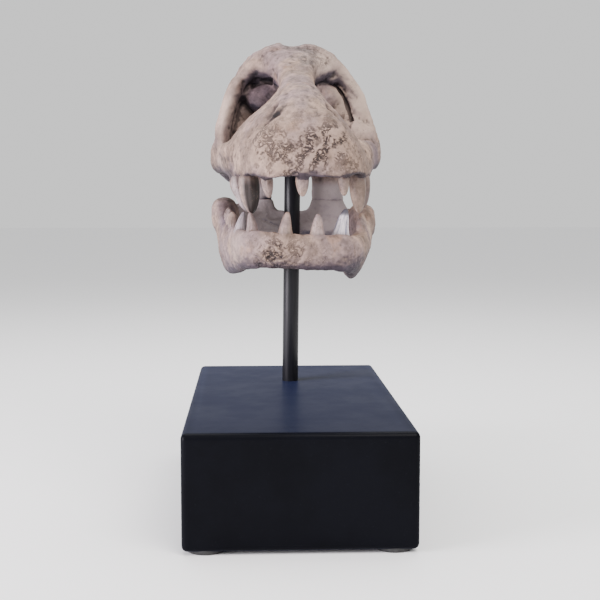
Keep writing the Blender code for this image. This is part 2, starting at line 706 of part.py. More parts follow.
def part_skull(parts, cutters, bone, high_hole):
    """The upper skull, fused whole and then parted by thin gaps."""
    shapes = [(build, skull_place) for build in (snout_shapes, cranium_shapes, cheek_shapes, upper_teeth)]
    upper = fused("upper_skull", [*shapes, (plate_shapes, plate_place)], cutters)
    for cutter in (
        pocket("nostrils", (0.0160, 0.0190, 0.2240), (0.0026, 0.0090, 0.0030), (-0.45, 0.65, 0.6), cutters),
        pocket("nose_hollows", (0.0150, 0.0705, 0.2180), (0.0105, 0.0110, 0.0120), (0, 1, 0), cutters),
        pocket("nerve_hole", (0.0, 0.1850, 0.2400), (0.0052, 0.0090, 0.0052), (0, 1, 0), cutters, both=False),
    ):
        cut_out(upper, cutter, "DIFFERENCE")
    clean = upper.modifiers.new("clean", "REMESH")
    clean.mode = "VOXEL"
    clean.voxel_size = VOXEL
    whole = evaluated_copy(upper, "upper_whole", cutters)
    whole.hide_render = True

    gap = FIT_GAP / 2
    cut_y = SNOUT_Y + SNOUT_CUT
    rooms = {
        "snout": box("snout_room", (-ROOM, -ROOM, 0.0), (ROOM, cut_y - gap, ROOM), cutters),
        "cranium": box("cranium_room", (-ROOM, cut_y + gap, PLATE_CUT_Z + gap), (ROOM, ROOM, ROOM), cutters),
    }
    taken = []
    for name, side in (("cheek_left", -1), ("cheek_right", 1)):
        rooms[name] = prism(f"{name}_room", cheek_outline(side, -gap), 0.0, CHEEK_CUT_Z - gap, cutters)
        outline = cheek_outline(side, gap)
        taken.append(prism(f"{name}_taken", outline, 0.0, CHEEK_CUT_Z + gap, cutters))
    for name, room in rooms.items():
        cutting = evaluated_copy(whole, f"{name}_whole", cutters)
        cutting.hide_render = True
        cut_out(cutting, room, "INTERSECT")
        if name == "cranium":
            for cutter in taken:
                cut_out(cutting, cutter, "DIFFERENCE")
        node = evaluated_copy(cutting, name, parts)
        thin_to(node, FACES[name])
        if name == "cranium":
            cut_out(node, high_hole, "DIFFERENCE")
        finish_part(node, bone)


def part_jaw(parts, cutters, bone):
    """The lower jaw, parted at the midline."""
    shapes = ((jaw_shapes, jaw_place), (lower_teeth, jaw_place), (plate_shapes, plate_place))
    lower = fused("lower_jaw", shapes, cutters)
    whole = evaluated_copy(lower, "jaw_whole", cutters)
    whole.hide_render = True
    gap = FIT_GAP / 2
    above = box("above_plates", (-0.036, 0.045, PLATE_CUT_Z - gap), (0.040, 0.070, ROOM), cutters)
    for name, side in (("jaw_left", -1), ("jaw_right", 1)):
        low_x, high_x = sorted((JAW_X + side * gap, side * ROOM))
        room = box(f"{name}_room", (low_x, -ROOM, -ROOM), (high_x, ROOM, ROOM), cutters)
        cutting = evaluated_copy(whole, f"{name}_whole", cutters)
        cutting.hide_render = True
        cut_out(cutting, room, "INTERSECT")
        cut_out(cutting, above, "DIFFERENCE")
        node = evaluated_copy(cutting, name, parts)
        thin_to(node, FACES[name])
        finish_part(node, bone)


def main():
    parts, cutters = start_scene()
    bone = material("cast_bone", (0.44, 0.36, 0.31), 0.75)
    high_hole = make_stand(parts, cutters)
    part_skull(parts, cutters, bone, high_hole)
    part_jaw(parts, cutters, bone)


main()
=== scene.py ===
import math

import bpy
import numpy as np
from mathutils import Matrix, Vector, noise
from mathutils.bvhtree import BVHTree


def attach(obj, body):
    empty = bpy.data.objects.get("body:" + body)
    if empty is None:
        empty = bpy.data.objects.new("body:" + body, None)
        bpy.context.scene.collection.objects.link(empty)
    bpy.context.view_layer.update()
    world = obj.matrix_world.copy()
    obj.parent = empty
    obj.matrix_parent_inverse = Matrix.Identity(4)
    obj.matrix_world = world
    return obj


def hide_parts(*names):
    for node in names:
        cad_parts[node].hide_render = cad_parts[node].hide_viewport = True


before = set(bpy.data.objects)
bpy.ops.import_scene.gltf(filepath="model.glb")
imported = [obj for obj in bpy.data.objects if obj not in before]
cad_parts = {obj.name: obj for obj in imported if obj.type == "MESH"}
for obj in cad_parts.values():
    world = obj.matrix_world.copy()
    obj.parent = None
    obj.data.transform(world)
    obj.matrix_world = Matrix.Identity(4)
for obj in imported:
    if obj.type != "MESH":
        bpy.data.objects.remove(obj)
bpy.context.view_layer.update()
print("frame loaded:", len(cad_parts), "solids")


# small tools shared by all pieces
def clearSelection():
    if bpy.context.object and bpy.context.object.mode != "OBJECT":
        bpy.ops.object.mode_set(mode="OBJECT")
    bpy.ops.object.select_all(action="DESELECT")


def takeUp(piece):
    clearSelection()
    piece.select_set(True)
    bpy.context.view_layer.objects.active = piece


def applyModifier(piece, kind, **settings):
    takeUp(piece)
    bpy.ops.object.modifier_add(type=kind)
    added = piece.modifiers[-1]
    for key, value in settings.items():
        setattr(added, key, value)
    bpy.ops.object.modifier_apply(modifier=added.name)


def joinPieces(pieces, name):
    clearSelection()
    for piece in pieces:
        piece.select_set(True)
    bpy.context.view_layer.objects.active = pieces[0]
    bpy.ops.object.join()
    pieces[0].name = name
    return pieces[0]


def settle(piece):
    takeUp(piece)
    bpy.ops.object.transform_apply(location=True, rotation=True, scale=True)


def fixNormals(piece):
    takeUp(piece)
    bpy.ops.object.mode_set(mode="EDIT")
    bpy.ops.mesh.select_all(action="SELECT")
    bpy.ops.mesh.remove_doubles(threshold=0.00002)
    bpy.ops.mesh.normals_make_consistent(inside=False)
    bpy.ops.object.mode_set(mode="OBJECT")


def readPoints(piece):
    points = np.empty(len(piece.data.vertices) * 3)
    piece.data.vertices.foreach_get("co", points)
    return points.reshape(-1, 3)


def writePoints(piece, points):
    piece.data.vertices.foreach_set("co", points.ravel())
    piece.data.update()


def readNormals(piece):
    normals = np.empty(len(piece.data.vertices) * 3)
    piece.data.vertices.foreach_get("normal", normals)
    return normals.reshape(-1, 3)


def ramp(values, low, high):
    t = np.clip((values - low) / (high - low), 0.0, 1.0)
    return t * t * (3.0 - 2.0 * t)


def storeValue(piece, name, values):
    layer = piece.data.attributes.new(name, "FLOAT", "POINT")
    layer.data.foreach_set("value", np.clip(values, 0.0, 1.0).astype(np.float32))


def finishPiece(piece, material, nodes, angle=40):
    piece.data.materials.clear()
    piece.data.materials.append(material)
    takeUp(piece)
    bpy.ops.object.shade_smooth_by_angle(angle=math.radians(angle))
    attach(piece, "root")
    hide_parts(*nodes)


# material building
def newMaterial(name):
    material = bpy.data.materials.new(name)
    material.use_nodes = True
    tree = material.node_tree
    return material, tree, tree.nodes["Principled BSDF"]


def addNode(tree, kind, **values):
    node = tree.nodes.new(kind)
    for key, value in values.items():
        if hasattr(node, key):
            setattr(node, key, value)
        else:
            node.inputs[key.replace("_", " ")].default_value = value
    return node


def feed(tree, socket, value):
    if isinstance(value, bpy.types.NodeSocket):
        tree.links.new(value, socket)
    elif isinstance(value, tuple):
        socket.default_value = (*value, 1)
    else:
        socket.default_value = value


def objectPlace(tree, scale=(1.0, 1.0, 1.0), shift=(0.0, 0.0, 0.0)):
    place = addNode(tree, "ShaderNodeTexCoord").outputs["Object"]
    if scale == (1.0, 1.0, 1.0) and shift == (0.0, 0.0, 0.0):
        return place
    mapping = addNode(tree, "ShaderNodeMapping")
    mapping.inputs["Scale"].default_value = scale
    mapping.inputs["Location"].default_value = shift
    tree.links.new(place, mapping.inputs["Vector"])
    return mapping.outputs["Vector"]


def cloud(tree, place, scale, detail=3.0, roughness=0.55, distortion=0.0):
    node = addNode(tree, "ShaderNodeTexNoise", Scale=scale, Detail=detail, Roughness=roughness, Distortion=distortion)
    tree.links.new(place, node.inputs["Vector"])
    return node.outputs["Fac"]


def compute(tree, operation, first, second=0.0):
    node = tree.nodes.new("ShaderNodeMath")
    node.operation = operation
    feed(tree, node.inputs[0], first)
    feed(tree, node.inputs[1], second)
    return node.outputs[0]


def stretch(tree, value, low, high, start=0.0, end=1.0):
    node = tree.nodes.new("ShaderNodeMapRange")
    node.interpolation_type = "SMOOTHSTEP"
    for socket, number in zip(node.inputs[:5], (value, low, high, start, end)):
        feed(tree, socket, number)
    return node.outputs[0]


def blendColour(tree, factor, first, second, way="MIX"):
    node = tree.nodes.new("ShaderNodeMix")
    node.data_type = "RGBA"
    node.blend_type = way
    feed(tree, node.inputs[0], factor)
    feed(tree, node.inputs[6], first)
    feed(tree, node.inputs[7], second)
    return node.outputs[2]


def storedValue(tree, name):
    return addNode(tree, "ShaderNodeAttribute", attribute_name=name).outputs["Fac"]


def addBump(tree, shader, height, strength, distance):
    bump = addNode(tree, "ShaderNodeBump", Strength=strength, Distance=distance)
    tree.links.new(height, bump.inputs["Height"])
    tree.links.new(bump.outputs["Normal"], shader.inputs["Normal"])


# the block, its feet and the rod
block = {
    "low": (-0.060, -0.113, 0.0018),
    "high": (0.060, 0.113, 0.062),
    "edge": 0.0034,
    "edgeSteps": 6,
    "crown": 0.00035,  # how far the lacquered top stands up in its middle
}
feet = {"radius": 0.010, "height": 0.0038, "pad": 0.0006, "places": ((-0.048, -0.102), (0.048, -0.102), (0.048, 0.102), (-0.048, 0.102))}
rod = {"radius": 0.005, "low": (-0.0003, 0.046, 0.0362), "high": (0.00178, 0.046, 0.2115), "sides": 64}


def makeBlock(material):
    low, high = Vector(block["low"]), Vector(block["high"])
    clearSelection()
    bpy.ops.mesh.primitive_cube_add(size=1, location=(low + high) / 2, scale=high - low)
    piece = bpy.context.object
    piece.name = "blackBlock"
    settle(piece)
    bpy.ops.object.mode_set(mode="EDIT")
    bpy.ops.mesh.select_all(action="SELECT")
    bpy.ops.mesh.bevel(offset=block["edge"], segments=block["edgeSteps"], profile=0.56, affect="EDGES")
    bpy.ops.mesh.select_all(action="DESELECT")
    bpy.ops.object.mode_set(mode="OBJECT")
    for face in piece.data.polygons:
        face.select = face.area > 0.004
    bpy.ops.object.mode_set(mode="EDIT")
    bpy.ops.mesh.select_mode(type="FACE")
    bpy.ops.mesh.inset(thickness=0.004, depth=0)
    bpy.ops.mesh.inset(thickness=0.006, depth=0)
    bpy.ops.mesh.inset(thickness=0.009, depth=0)
    bpy.ops.object.mode_set(mode="OBJECT")
    points = readPoints(piece)
    inward = np.minimum(0.060 - np.abs(points[:, 0]), 0.113 - np.abs(points[:, 1]))
    top = points[:, 2] > high.z - 0.0001
    points[top, 2] += block["crown"] * ramp(inward[top], block["edge"], 0.020)
    writePoints(piece, points)
    finishPiece(piece, material, ["stand_base"], 30)
    return piece


def makeFeet(material):
    made = []
    for number, (x, y) in enumerate(feet["places"], start=1):
        clearSelection()
        bpy.ops.mesh.primitive_cylinder_add(
            vertices=56, radius=feet["radius"], depth=feet["height"] - feet["pad"],
            location=(x, y, (feet["height"] - feet["pad"]) / 2),
        )
        piece = bpy.context.object
        piece.name = f"roundFoot{number}"
        settle(piece)
        bpy.ops.object.mode_set(mode="EDIT")
        bpy.ops.mesh.select_all(action="SELECT")
        bpy.ops.mesh.bevel(offset=0.0009, segments=4, affect="EDGES")
        bpy.ops.object.mode_set(mode="OBJECT")
        for face in piece.data.polygons:
            face.select = face.normal.z > 0.99 and face.area > 0.0001
        bpy.ops.object.mode_set(mode="EDIT")
        bpy.ops.mesh.select_mode(type="FACE")
        bpy.ops.mesh.inset(thickness=0.0004, depth=0)
        bpy.ops.mesh.extrude_region_move(TRANSFORM_OT_translate={"value": (0, 0, feet["pad"])})
        bpy.ops.object.mode_set(mode="OBJECT")
        finishPiece(piece, material, [f"stand_foot_{number}"], 40)
        made.append(piece)
    return made


def makeRod(material):
    low, high = Vector(rod["low"]), Vector(rod["high"])
    clearSelection()
    bpy.ops.mesh.primitive_cylinder_add(
        vertices=rod["sides"], radius=rod["radius"], depth=high.z - low.z, location=(low.x, low.y, (low.z + high.z) / 2)
    )
    piece = bpy.context.object
    piece.name = "blackRod"
    settle(piece)
    bpy.ops.object.mode_set(mode="EDIT")
    bpy.ops.mesh.select_all(action="SELECT")
    bpy.ops.mesh.bevel(offset=0.0006, segments=2, affect="EDGES")
    bpy.ops.object.mode_set(mode="OBJECT")
    points = readPoints(piece)
    points[:, 0] += (high.x - low.x) * (points[:, 2] - low.z) / (high.z - low.z)  # the rod leans a little
    writePoints(piece, points)
    finishPiece(piece, material, ["stand_rod"], 35)
    return piece


# the skull's own measures: x from its midline, back from the snout's tip, z above the table
cast = {
    "snoutY": -0.082,
    "skullX": 0.0020,
    "tiltZ": 0.245,
    "lean": 0.040,
    "rise": (0.006, 0.030),
    "jawX": 0.0018,
    "jawDrop": 0.042,
    "jawPinch": 0.15,
    "lipZ": 0.189,
}


def share(values, start, end):
    return np.clip((values - start) / (end - start), 0.0, 1.0)


def placeUpper(points):
    x, back, z = points[:, 0], points[:, 1], points[:, 2]
    low, high = cast["rise"]
    rise = (low + (high - low) * share(back, 0.02, 0.11)) * share(z, 0.265, 0.220)
    return np.stack([cast["skullX"] + x + (cast["tiltZ"] - z) * cast["lean"], cast["snoutY"] + back, z + x * rise], 1)


def placeLower(points):
    x, back, z = points[:, 0], points[:, 1], points[:, 2]
    inward = cast["jawPinch"] * np.maximum(0.0, x) * share(z, 0.152, 0.132)
    return np.stack([cast["jawX"] + x - inward, cast["snoutY"] + back, z - x * cast["jawDrop"]], 1)


def lineAt(outline, back):
    return float(np.interp(back, [p[0] for p in outline], [p[1] for p in outline]))


# teeth: three pegs are shaped, and each tooth is a copy of one with its own mesh
teeth = {
    "sides": 24,
    # how far along the tooth, and the share of its radius there
    "fang": ((-0.12, 0.90), (0.0, 1.0), (0.18, 1.05), (0.38, 1.03), (0.56, 0.95), (0.72, 0.82), (0.85, 0.62), (0.93, 0.42), (0.975, 0.22)),
    "peg": ((-0.14, 0.90), (0.0, 1.0), (0.16, 1.01), (0.34, 0.97), (0.52, 0.89), (0.68, 0.77), (0.81, 0.62), (0.91, 0.44), (0.97, 0.26)),
    "spike": ((-0.10, 1.30), (0.0, 1.20), (0.10, 1.05), (0.24, 0.93), (0.40, 0.83), (0.56, 0.74), (0.72, 0.63), (0.86, 0.47), (0.96, 0.26)),
    "upperLine": ((0.010, 0.0240), (0.024, 0.0287), (0.036, 0.0308), (0.060, 0.0350), (0.095, 0.0402)),
    "lowerLine": ((0.010, 0.0210), (0.024, 0.0295), (0.036, 0.0325), (0.060, 0.0370), (0.095, 0.0410)),
    "lowerRim": ((0.0072, 0.1601), (0.0130, 0.1602), (0.0215, 0.1601), (0.0360, 0.1600), (0.0560, 0.1614), (0.0760, 0.1640), (0.0950, 0.1690)),
    # shape, x, back, length, radius, the tip's lean to +X, paleness, and painted shade on one side
    "upperFront": (
        ("peg", -0.0204, 0.0095, 0.0106, 0.0032, 0.0008, 0.0, 0.0),
        ("peg", -0.0020, 0.0060, 0.0100, 0.0035, -0.0002, 0.0, 0.0),
        ("peg", 0.0197, 0.0105, 0.0098, 0.0030, 0.0002, 0.0, 0.1),
        ("fang", -0.0299, 0.0245, 0.0190, 0.0054, 0.0008, 0.0, 1.0),
        ("fang", -0.0362, 0.0375, 0.0176, 0.0034, 0.0044, 0.25, 0.0),
        ("fang", 0.0284, 0.0245, 0.0190, 0.0043, 0.0004, 0.0, 0.25),
        ("fang", 0.0328, 0.0365, 0.0166, 0.0037, -0.0004, 0.0, 0.5),
    ),
    # back, length and radius, on both sides
    "upperSide": (
        (0.0485, 0.0155, 0.0041),
        (0.0590, 0.0135, 0.0038),
        (0.0685, 0.0115, 0.0035),
        (0.0770, 0.0095, 0.0031),
        (0.0845, 0.0075, 0.0027),
    ),
    "lowerFront": (
        ("spike", -0.0083, 0.0080, 0.0122, 0.0036, 0.0012, 0.0, 0.0),
        ("spike", 0.0084, 0.0086, 0.0118, 0.0036, 0.0006, 0.05, 0.0),
        ("spike", 0.0212, 0.0160, 0.0150, 0.0042, 0.0030, 1.0, 0.0),
        ("spike", -0.0256, 0.0175, 0.0108, 0.0032, -0.0012, 0.0, 0.0),
        ("spike", -0.0326, 0.0325, 0.0110, 0.0028, 0.0026, 0.45, 0.0),
    ),
    "lowerSide": (
        (0.0560, 0.0078, 0.0031),
        (0.0640, 0.0078, 0.0031),
        (0.0715, 0.0074, 0.0030),
        (0.0788, 0.0068, 0.0028),
        (0.0855, 0.0058, 0.0025),
    ),
}
# the solids' own plain teeth, taken off the copy: x, back, length, radius and lean, and the rows that both sides have
plainTeeth = {
    "upper": ((-0.0200, 0.0095, 0.0105, 0.0031, 0.0006), (-0.0016, 0.0060, 0.0098, 0.0034, 0.0003), (0.0205, 0.0105, 0.0098, 0.0033, 0.0004)),
    "upperRow": ((0.0245, 0.0188, 0.0046), (0.0365, 0.0178, 0.0043), *teeth["upperSide"]),
    "lower": (
        (-0.0083, 0.0068, 0.0118, 0.0044, 0.0008), (0.0087, 0.0070, 0.0095, 0.0037, 0.0003), (0.0226, 0.0150, 0.0145, 0.0050, 0.0020),
        (-0.0250, 0.0165, 0.0105, 0.0036, -0.0008), (-0.0314, 0.0325, 0.0098, 0.0032, 0.0034), (0.0318, 0.0290, 0.0100, 0.0038, -0.0010),
    ),
    "lowerRow": ((0.0400, 0.0115, 0.0041), (0.0505, 0.0112, 0.0039), (0.0605, 0.0105, 0.0037), (0.0700, 0.0092, 0.0034), (0.0785, 0.0080, 0.0031), (0.0860, 0.0065, 0.0027)),
}


def makePeg(name):
    rings = teeth[name]
    clearSelection()
    along, width = rings[0]
    bpy.ops.mesh.primitive_circle_add(vertices=teeth["sides"], radius=width, fill_type="NGON", location=(0, 0, along))
    peg = bpy.context.object
    settle(peg)
    bpy.ops.object.mode_set(mode="EDIT")
    bpy.ops.mesh.select_mode(type="FACE")
    bpy.ops.mesh.select_all(action="SELECT")
    for nextAlong, nextWidth in rings[1:]:
        bpy.ops.mesh.extrude_region_move(TRANSFORM_OT_translate={"value": (0, 0, nextAlong - along)})
        grow = nextWidth / width
        bpy.ops.transform.resize(value=(grow, grow, 1), center_override=(0, 0, nextAlong))
        along, width = nextAlong, nextWidth
    bpy.ops.mesh.inset(thickness=width * 0.45, depth=0.02)
    bpy.ops.object.mode_set(mode="OBJECT")
    fixNormals(peg)
    applyModifier(peg, "SUBSURF", levels=1, render_levels=1)
    peg.name = name
    return peg


def setTooth(peg, name, root, length, radius, way, lean, place, seed, pale=0.0, brown=0.0):
    mesh = peg.data.copy()
    piece = bpy.data.objects.new(name, mesh)
    bpy.context.scene.collection.objects.link(piece)
    unit = readPoints(piece)
    along = unit[:, 2].copy()
    turn = np.arctan2(unit[:, 1], unit[:, 0])
    ridge = 1.0 + 0.035 * np.sin(turn * 5 + seed) * ramp(along, -0.1, 0.3) + 0.020 * np.sin(turn * 11 + seed * 2.3)
    bend = np.maximum(along, 0.0) ** 1.6
    blade = 1.0 - 0.06 * ramp(along, 0.2, 1.0)
    points = np.stack([
        root[0] + unit[:, 0] * radius * ridge * blade + lean[0] * bend,
        root[1] + unit[:, 1] * radius * ridge * 1.04 + lean[1] * bend,
        root[2] + way * length * along,
    ], 1)
    writePoints(piece, place(points))
    storeValue(piece, "along", along)
    storeValue(piece, "around", turn / (2 * math.pi) + 0.5)
    storeValue(piece, "number", np.full(len(along), (seed * 0.37) % 1.0))
    storeValue(piece, "pale", np.full(len(along), pale))
    # painted shade: one side of the tooth is darkened near black, as if in shadow
    storeValue(piece, "brown", brown * ramp(np.cos(turn + 0.70), -0.20, 0.30) * ramp(along, -0.12, 0.06))
    storeValue(piece, "tip", pale * ramp(along, 0.70, 0.82))
    if way < 0:
        takeUp(piece)
        bpy.ops.object.mode_set(mode="EDIT")
        bpy.ops.mesh.select_all(action="SELECT")
        bpy.ops.mesh.flip_normals()
        bpy.ops.object.mode_set(mode="OBJECT")
    return piece


def rimAt(back):
    return lineAt(teeth["lowerRim"], back) - 0.0012


def makeUpperTeeth(pegs):
    made = []
    for shape, x, back, length, radius, lean, pale, brown in teeth["upperFront"]:
        root = (x, back, cast["lipZ"])
        made.append(setTooth(pegs[shape], "upperTooth", root, length, radius, -1, (lean, 0.001), placeUpper, back * 900 + x * 300, pale, brown))
    for side in (-1, 1):
        for back, length, radius in teeth["upperSide"]:
            root = (side * lineAt(teeth["upperLine"], back), back, cast["lipZ"] + 0.0003)
            made.append(setTooth(pegs["peg"], "upperTooth", root, length, radius, -1, (0.0, 0.003), placeUpper, back * 700 + side))
    return made


def makeLowerTeeth(pegs):
    made = []
    for shape, x, back, length, radius, lean, pale, brown in teeth["lowerFront"]:
        root = (x, back, rimAt(back))
        made.append(setTooth(pegs[shape], "lowerTooth", root, length, radius, 1, (lean, 0.0008), placeLower, back * 900 + x * 300, pale, brown))
    for side in (-1, 1):
        for back, length, radius in teeth["lowerSide"]:
            root = (side * lineAt(teeth["lowerLine"], back), back, rimAt(back))
            made.append(setTooth(pegs["peg"], "lowerTooth", root, length, radius, 1, (-side * 0.0006, 0.0024), placeLower, back * 700 + side))
    return made


def pullTeeth(piece, upper):
    # the copy's plain teeth are pressed back into the bone
    single, row, line = ("upper", "upperRow", "upperLine") if upper else ("lower", "lowerRow", "lowerLine")
    place, way, left = (placeUpper, -1, 0.0) if upper else (placeLower, 1, 0.0010)
    points = readPoints(piece)
    listed = [(x, back, length, radius, lean, 0.001) for x, back, length, radius, lean in plainTeeth[single]]
    for back, length, radius in plainTeeth[row]:
        for side in (-1, 1):
            lean = (0.0, 0.003) if upper else (-side * 0.0006, 0.0024)
            listed.append((side * lineAt(teeth[line], back), back, length, radius, *lean))
    for x, back, length, radius, lean, rear in listed:
        base = cast["lipZ"] if upper else rimAt(back)
        root, tip = place(np.array([(x, back, base), (x + lean, back + rear, base + way * length)]))
        axis = (tip - root) / np.linalg.norm(tip - root)
        along = (points - root) @ axis
        away = np.linalg.norm(points - root - along[:, None] * axis, axis=1)
        caught = (along > left) & (along < length + 0.0015) & (away < radius * 1.12 + 0.0004)
        points[caught] -= (along[caught] - left + 0.0002)[:, None] * axis
    writePoints(piece, points)


# the bone: merged copies of the solids, fused again at a fine step and then worked over
bone = {
    "upperStep": 0.00075,
    "lowerStep": 0.00065,
    "faceLimit": 190000,
    "soften": 6,
    "seam": 0.0012,
}


def copySolids(nodeNames, name):
    made = []
    for nodeName in nodeNames:
        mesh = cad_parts[nodeName].data.copy()
        piece = bpy.data.objects.new(nodeName + "Copy", mesh)
        bpy.context.scene.collection.objects.link(piece)
        takeUp(piece)
        bpy.ops.object.mode_set(mode="EDIT")
        bpy.ops.mesh.select_all(action="SELECT")
        bpy.ops.mesh.remove_doubles(threshold=0.00001)
        bpy.ops.object.mode_set(mode="OBJECT")
        closeSeams(piece)
        made.append(piece)
    return joinPieces(made, name)


def closeSeams(piece):
    # the flat faces of a parting gap are pushed out over it
    low, high = np.array(piece.bound_box).min(0), np.array(piece.bound_box).max(0)
    for axis in range(3):
        for way in (-1, 1):
            places = {}
            for face in piece.data.polygons:
                if face.normal[axis] * way > 0.9995:
                    key = round(face.center[axis] * 20000)
                    places[key] = places.get(key, 0.0) + face.area
            flats = {key for key, area in places.items() if area > 0.00004}
            if not flats:
                continue
            takeUp(piece)
            bpy.ops.object.mode_set(mode="EDIT")
            bpy.ops.mesh.select_mode(type="FACE")
            bpy.ops.mesh.select_all(action="DESELECT")
            bpy.ops.object.mode_set(mode="OBJECT")
            for face in piece.data.polygons:
                near = round(face.center[axis] * 20000)
                face.select = face.normal[axis] * way > 0.9995 and near in flats
            push = [0.0, 0.0, 0.0]
            push[axis] = way * bone["seam"]
            bpy.ops.object.mode_set(mode="EDIT")
            bpy.ops.mesh.extrude_region_move(TRANSFORM_OT_translate={"value": tuple(push)})
            bpy.ops.object.mode_set(mode="OBJECT")


# forms added to the solids before they are fused: (x, back, z, half width, half height) along the skull
forms = {
    "foreheadSlope": (
        (0.0, 0.058, 0.2405, 0.0080, 0.0050),
        (0.0, 0.070, 0.2462, 0.0092, 0.0060),
        (0.0, 0.080, 0.2518, 0.0112, 0.0070),
        (0.0, 0.088, 0.2568, 0.0150, 0.0076),
        (0.0, 0.096, 0.2604, 0.0215, 0.0076),
        (0.0, 0.104, 0.2630, 0.0270, 0.0070),
        (0.0, 0.114, 0.2630, 0.0270, 0.0060),
    ),
    "rightLobe": (
        (0.0200, 0.0980, 0.2330, 0.0070, 0.0080),
        (0.0215, 0.1010, 0.2325, 0.0100, 0.0125),
        (0.0215, 0.1070, 0.2320, 0.0112, 0.0140),
        (0.0190, 0.1180, 0.2330, 0.0115, 0.0140),
    ),
    # the same, but stacked upwards: half width and half depth
    "rightBrowInside": (
        (0.0425, 0.1075, 0.2120, 0.0065, 0.0066),
        (0.0410, 0.1075, 0.2200, 0.0067, 0.0066),
        (0.0390, 0.1072, 0.2280, 0.0067, 0.0066),
        (0.0360, 0.1068, 0.2360, 0.0065, 0.0068),
        (0.0318, 0.1065, 0.2440, 0.0060, 0.0072),
        (0.0285, 0.1080, 0.2495, 0.0054, 0.0066),
        (0.0245, 0.1105, 0.2540, 0.0042, 0.0054),
    ),
    "rightCorner": (
        (0.0410, 0.1010, 0.2050, 0.0090, 0.0090),
        (0.0408, 0.1032, 0.2110, 0.0092, 0.0090),
        (0.0402, 0.1056, 0.2160, 0.0090, 0.0086),
        (0.0392, 0.1068, 0.2205, 0.0078, 0.0080),
        (0.0372, 0.1072, 0.2245, 0.0056, 0.0070),
        (0.0352, 0.1074, 0.2275, 0.0036, 0.0060),
    ),
    "rightLobeLow": (
        (0.0290, 0.1005, 0.2265, 0.0045, 0.0075),
        (0.0295, 0.1050, 0.2260, 0.0062, 0.0105),
        (0.0295, 0.1200, 0.2260, 0.0070, 0.0115),
    ),
    "leftBarInside": (
        (-0.0440, 0.1040, 0.2030, 0.0040, 0.0080),
        (-0.0445, 0.1030, 0.2090, 0.0044, 0.0080),
        (-0.0446, 0.1022, 0.2140, 0.0046, 0.0080),
        (-0.0442, 0.1018, 0.2200, 0.0048, 0.0080),
        (-0.0431, 0.1018, 0.2250, 0.0049, 0.0080),
        (-0.0415, 0.1018, 0.2298, 0.0049, 0.0080),
        (-0.0397, 0.1018, 0.2347, 0.0049, 0.0080),
        (-0.0378, 0.1020, 0.2395, 0.0049, 0.0080),
        (-0.0360, 0.1026, 0.2440, 0.0047, 0.0080),
        (-0.0338, 0.1034, 0.2485, 0.0044, 0.0076),
        (-0.0310, 0.1045, 0.2525, 0.0040, 0.0070),
    ),
    "leftWall": (
        (-0.0360, 0.1140, 0.2080, 0.0090, 0.0080),
        (-0.0340, 0.1140, 0.2180, 0.0100, 0.0080),
        (-0.0310, 0.1140, 0.2280, 0.0100, 0.0080),
        (-0.0290, 0.1140, 0.2380, 0.0095, 0.0080),
        (-0.0275, 0.1140, 0.2450, 0.0085, 0.0070),
    ),
    "leftRecess": (
        (-0.0185, 0.1000, 0.2500, 0.0090, 0.0024),
        (-0.0190, 0.1045, 0.2498, 0.0110, 0.0038),
        (-0.0190, 0.1160, 0.2496, 0.0115, 0.0044),
    ),
    "rightShelf": (
        (0.0200, 0.0960, 0.2508, 0.0060, 0.0036),
        (0.0205, 0.1010, 0.2514, 0.0085, 0.0056),
        (0.0205, 0.1140, 0.2516, 0.0090, 0.0062),
    ),
}


def growForm(name, stations, upward=False):
    x, back, z, wide, high = stations[0]
    clearSelection()
    turn = (0, 0, 0) if upward else (math.pi / 2, 0, 0)
    bpy.ops.mesh.primitive_circle_add(vertices=28, radius=1, fill_type="NGON", location=(x, back, z), rotation=turn)
    piece = bpy.context.object
    piece.name = name
    settle(piece)
    bpy.ops.object.mode_set(mode="EDIT")
    bpy.ops.mesh.select_mode(type="FACE")
    bpy.ops.mesh.select_all(action="SELECT")
    size = Vector((wide, high, 1) if upward else (wide, 1, high))
    bpy.ops.transform.resize(value=size, center_override=(x, back, z))
    middle = Vector((x, back, z))
    for x, back, z, wide, high in stations[1:]:
        bpy.ops.mesh.extrude_region_move(TRANSFORM_OT_translate={"value": Vector((x, back, z)) - middle})
        middle = Vector((x, back, z))
        nextSize = Vector((wide, high, 1) if upward else (wide, 1, high))
        grow = (nextSize.x / size.x, nextSize.y / size.y, nextSize.z / size.z)
        bpy.ops.transform.resize(value=grow, center_override=middle)
        size = nextSize
    bpy.ops.object.mode_set(mode="OBJECT")
    fixNormals(piece)
    writePoints(piece, placeUpper(readPoints(piece)))
    return piece


def flareSnout(points):
    # the snout's -X flank stands out further than the other
    back = points[:, 1] - cast["snoutY"]
    z = points[:, 2]
    height = np.interp(z, [0.190, 0.200, 0.210, 0.216, 0.222, 0.232, 0.243], [0.0, 0.35, 1.0, 1.0, 0.95, 0.45, 0.0])
    length = ramp(back, 0.006, 0.046) * (1.0 - ramp(back, 0.070, 0.082))
    side = ramp(-(points[:, 0] - 0.002), 0.004, 0.022)
    points[:, 0] -= 0.0066 * height * length * side
    return points


def dropLip(points):
    # the front lip's lower edge hangs a little lower in the middle
    middle = 1.0 - ramp(np.abs(points[:, 0] - 0.002), 0.017, 0.027)
    front = 1.0 - ramp(points[:, 1], -0.072, -0.060)
    low = 1.0 - ramp(points[:, 2], 0.1915, 0.2015)
    points[:, 2] -= 0.0021 * middle * front * low
    return points


def fuseBone(piece, step):
    applyModifier(piece, "SUBSURF", levels=1, render_levels=1)
    applyModifier(piece, "REMESH", mode="VOXEL", voxel_size=step, adaptivity=0.0)
    applyModifier(piece, "SMOOTH", factor=0.5, iterations=bone["soften"])
    print(piece.name, "fused:", len(piece.data.vertices), "points")


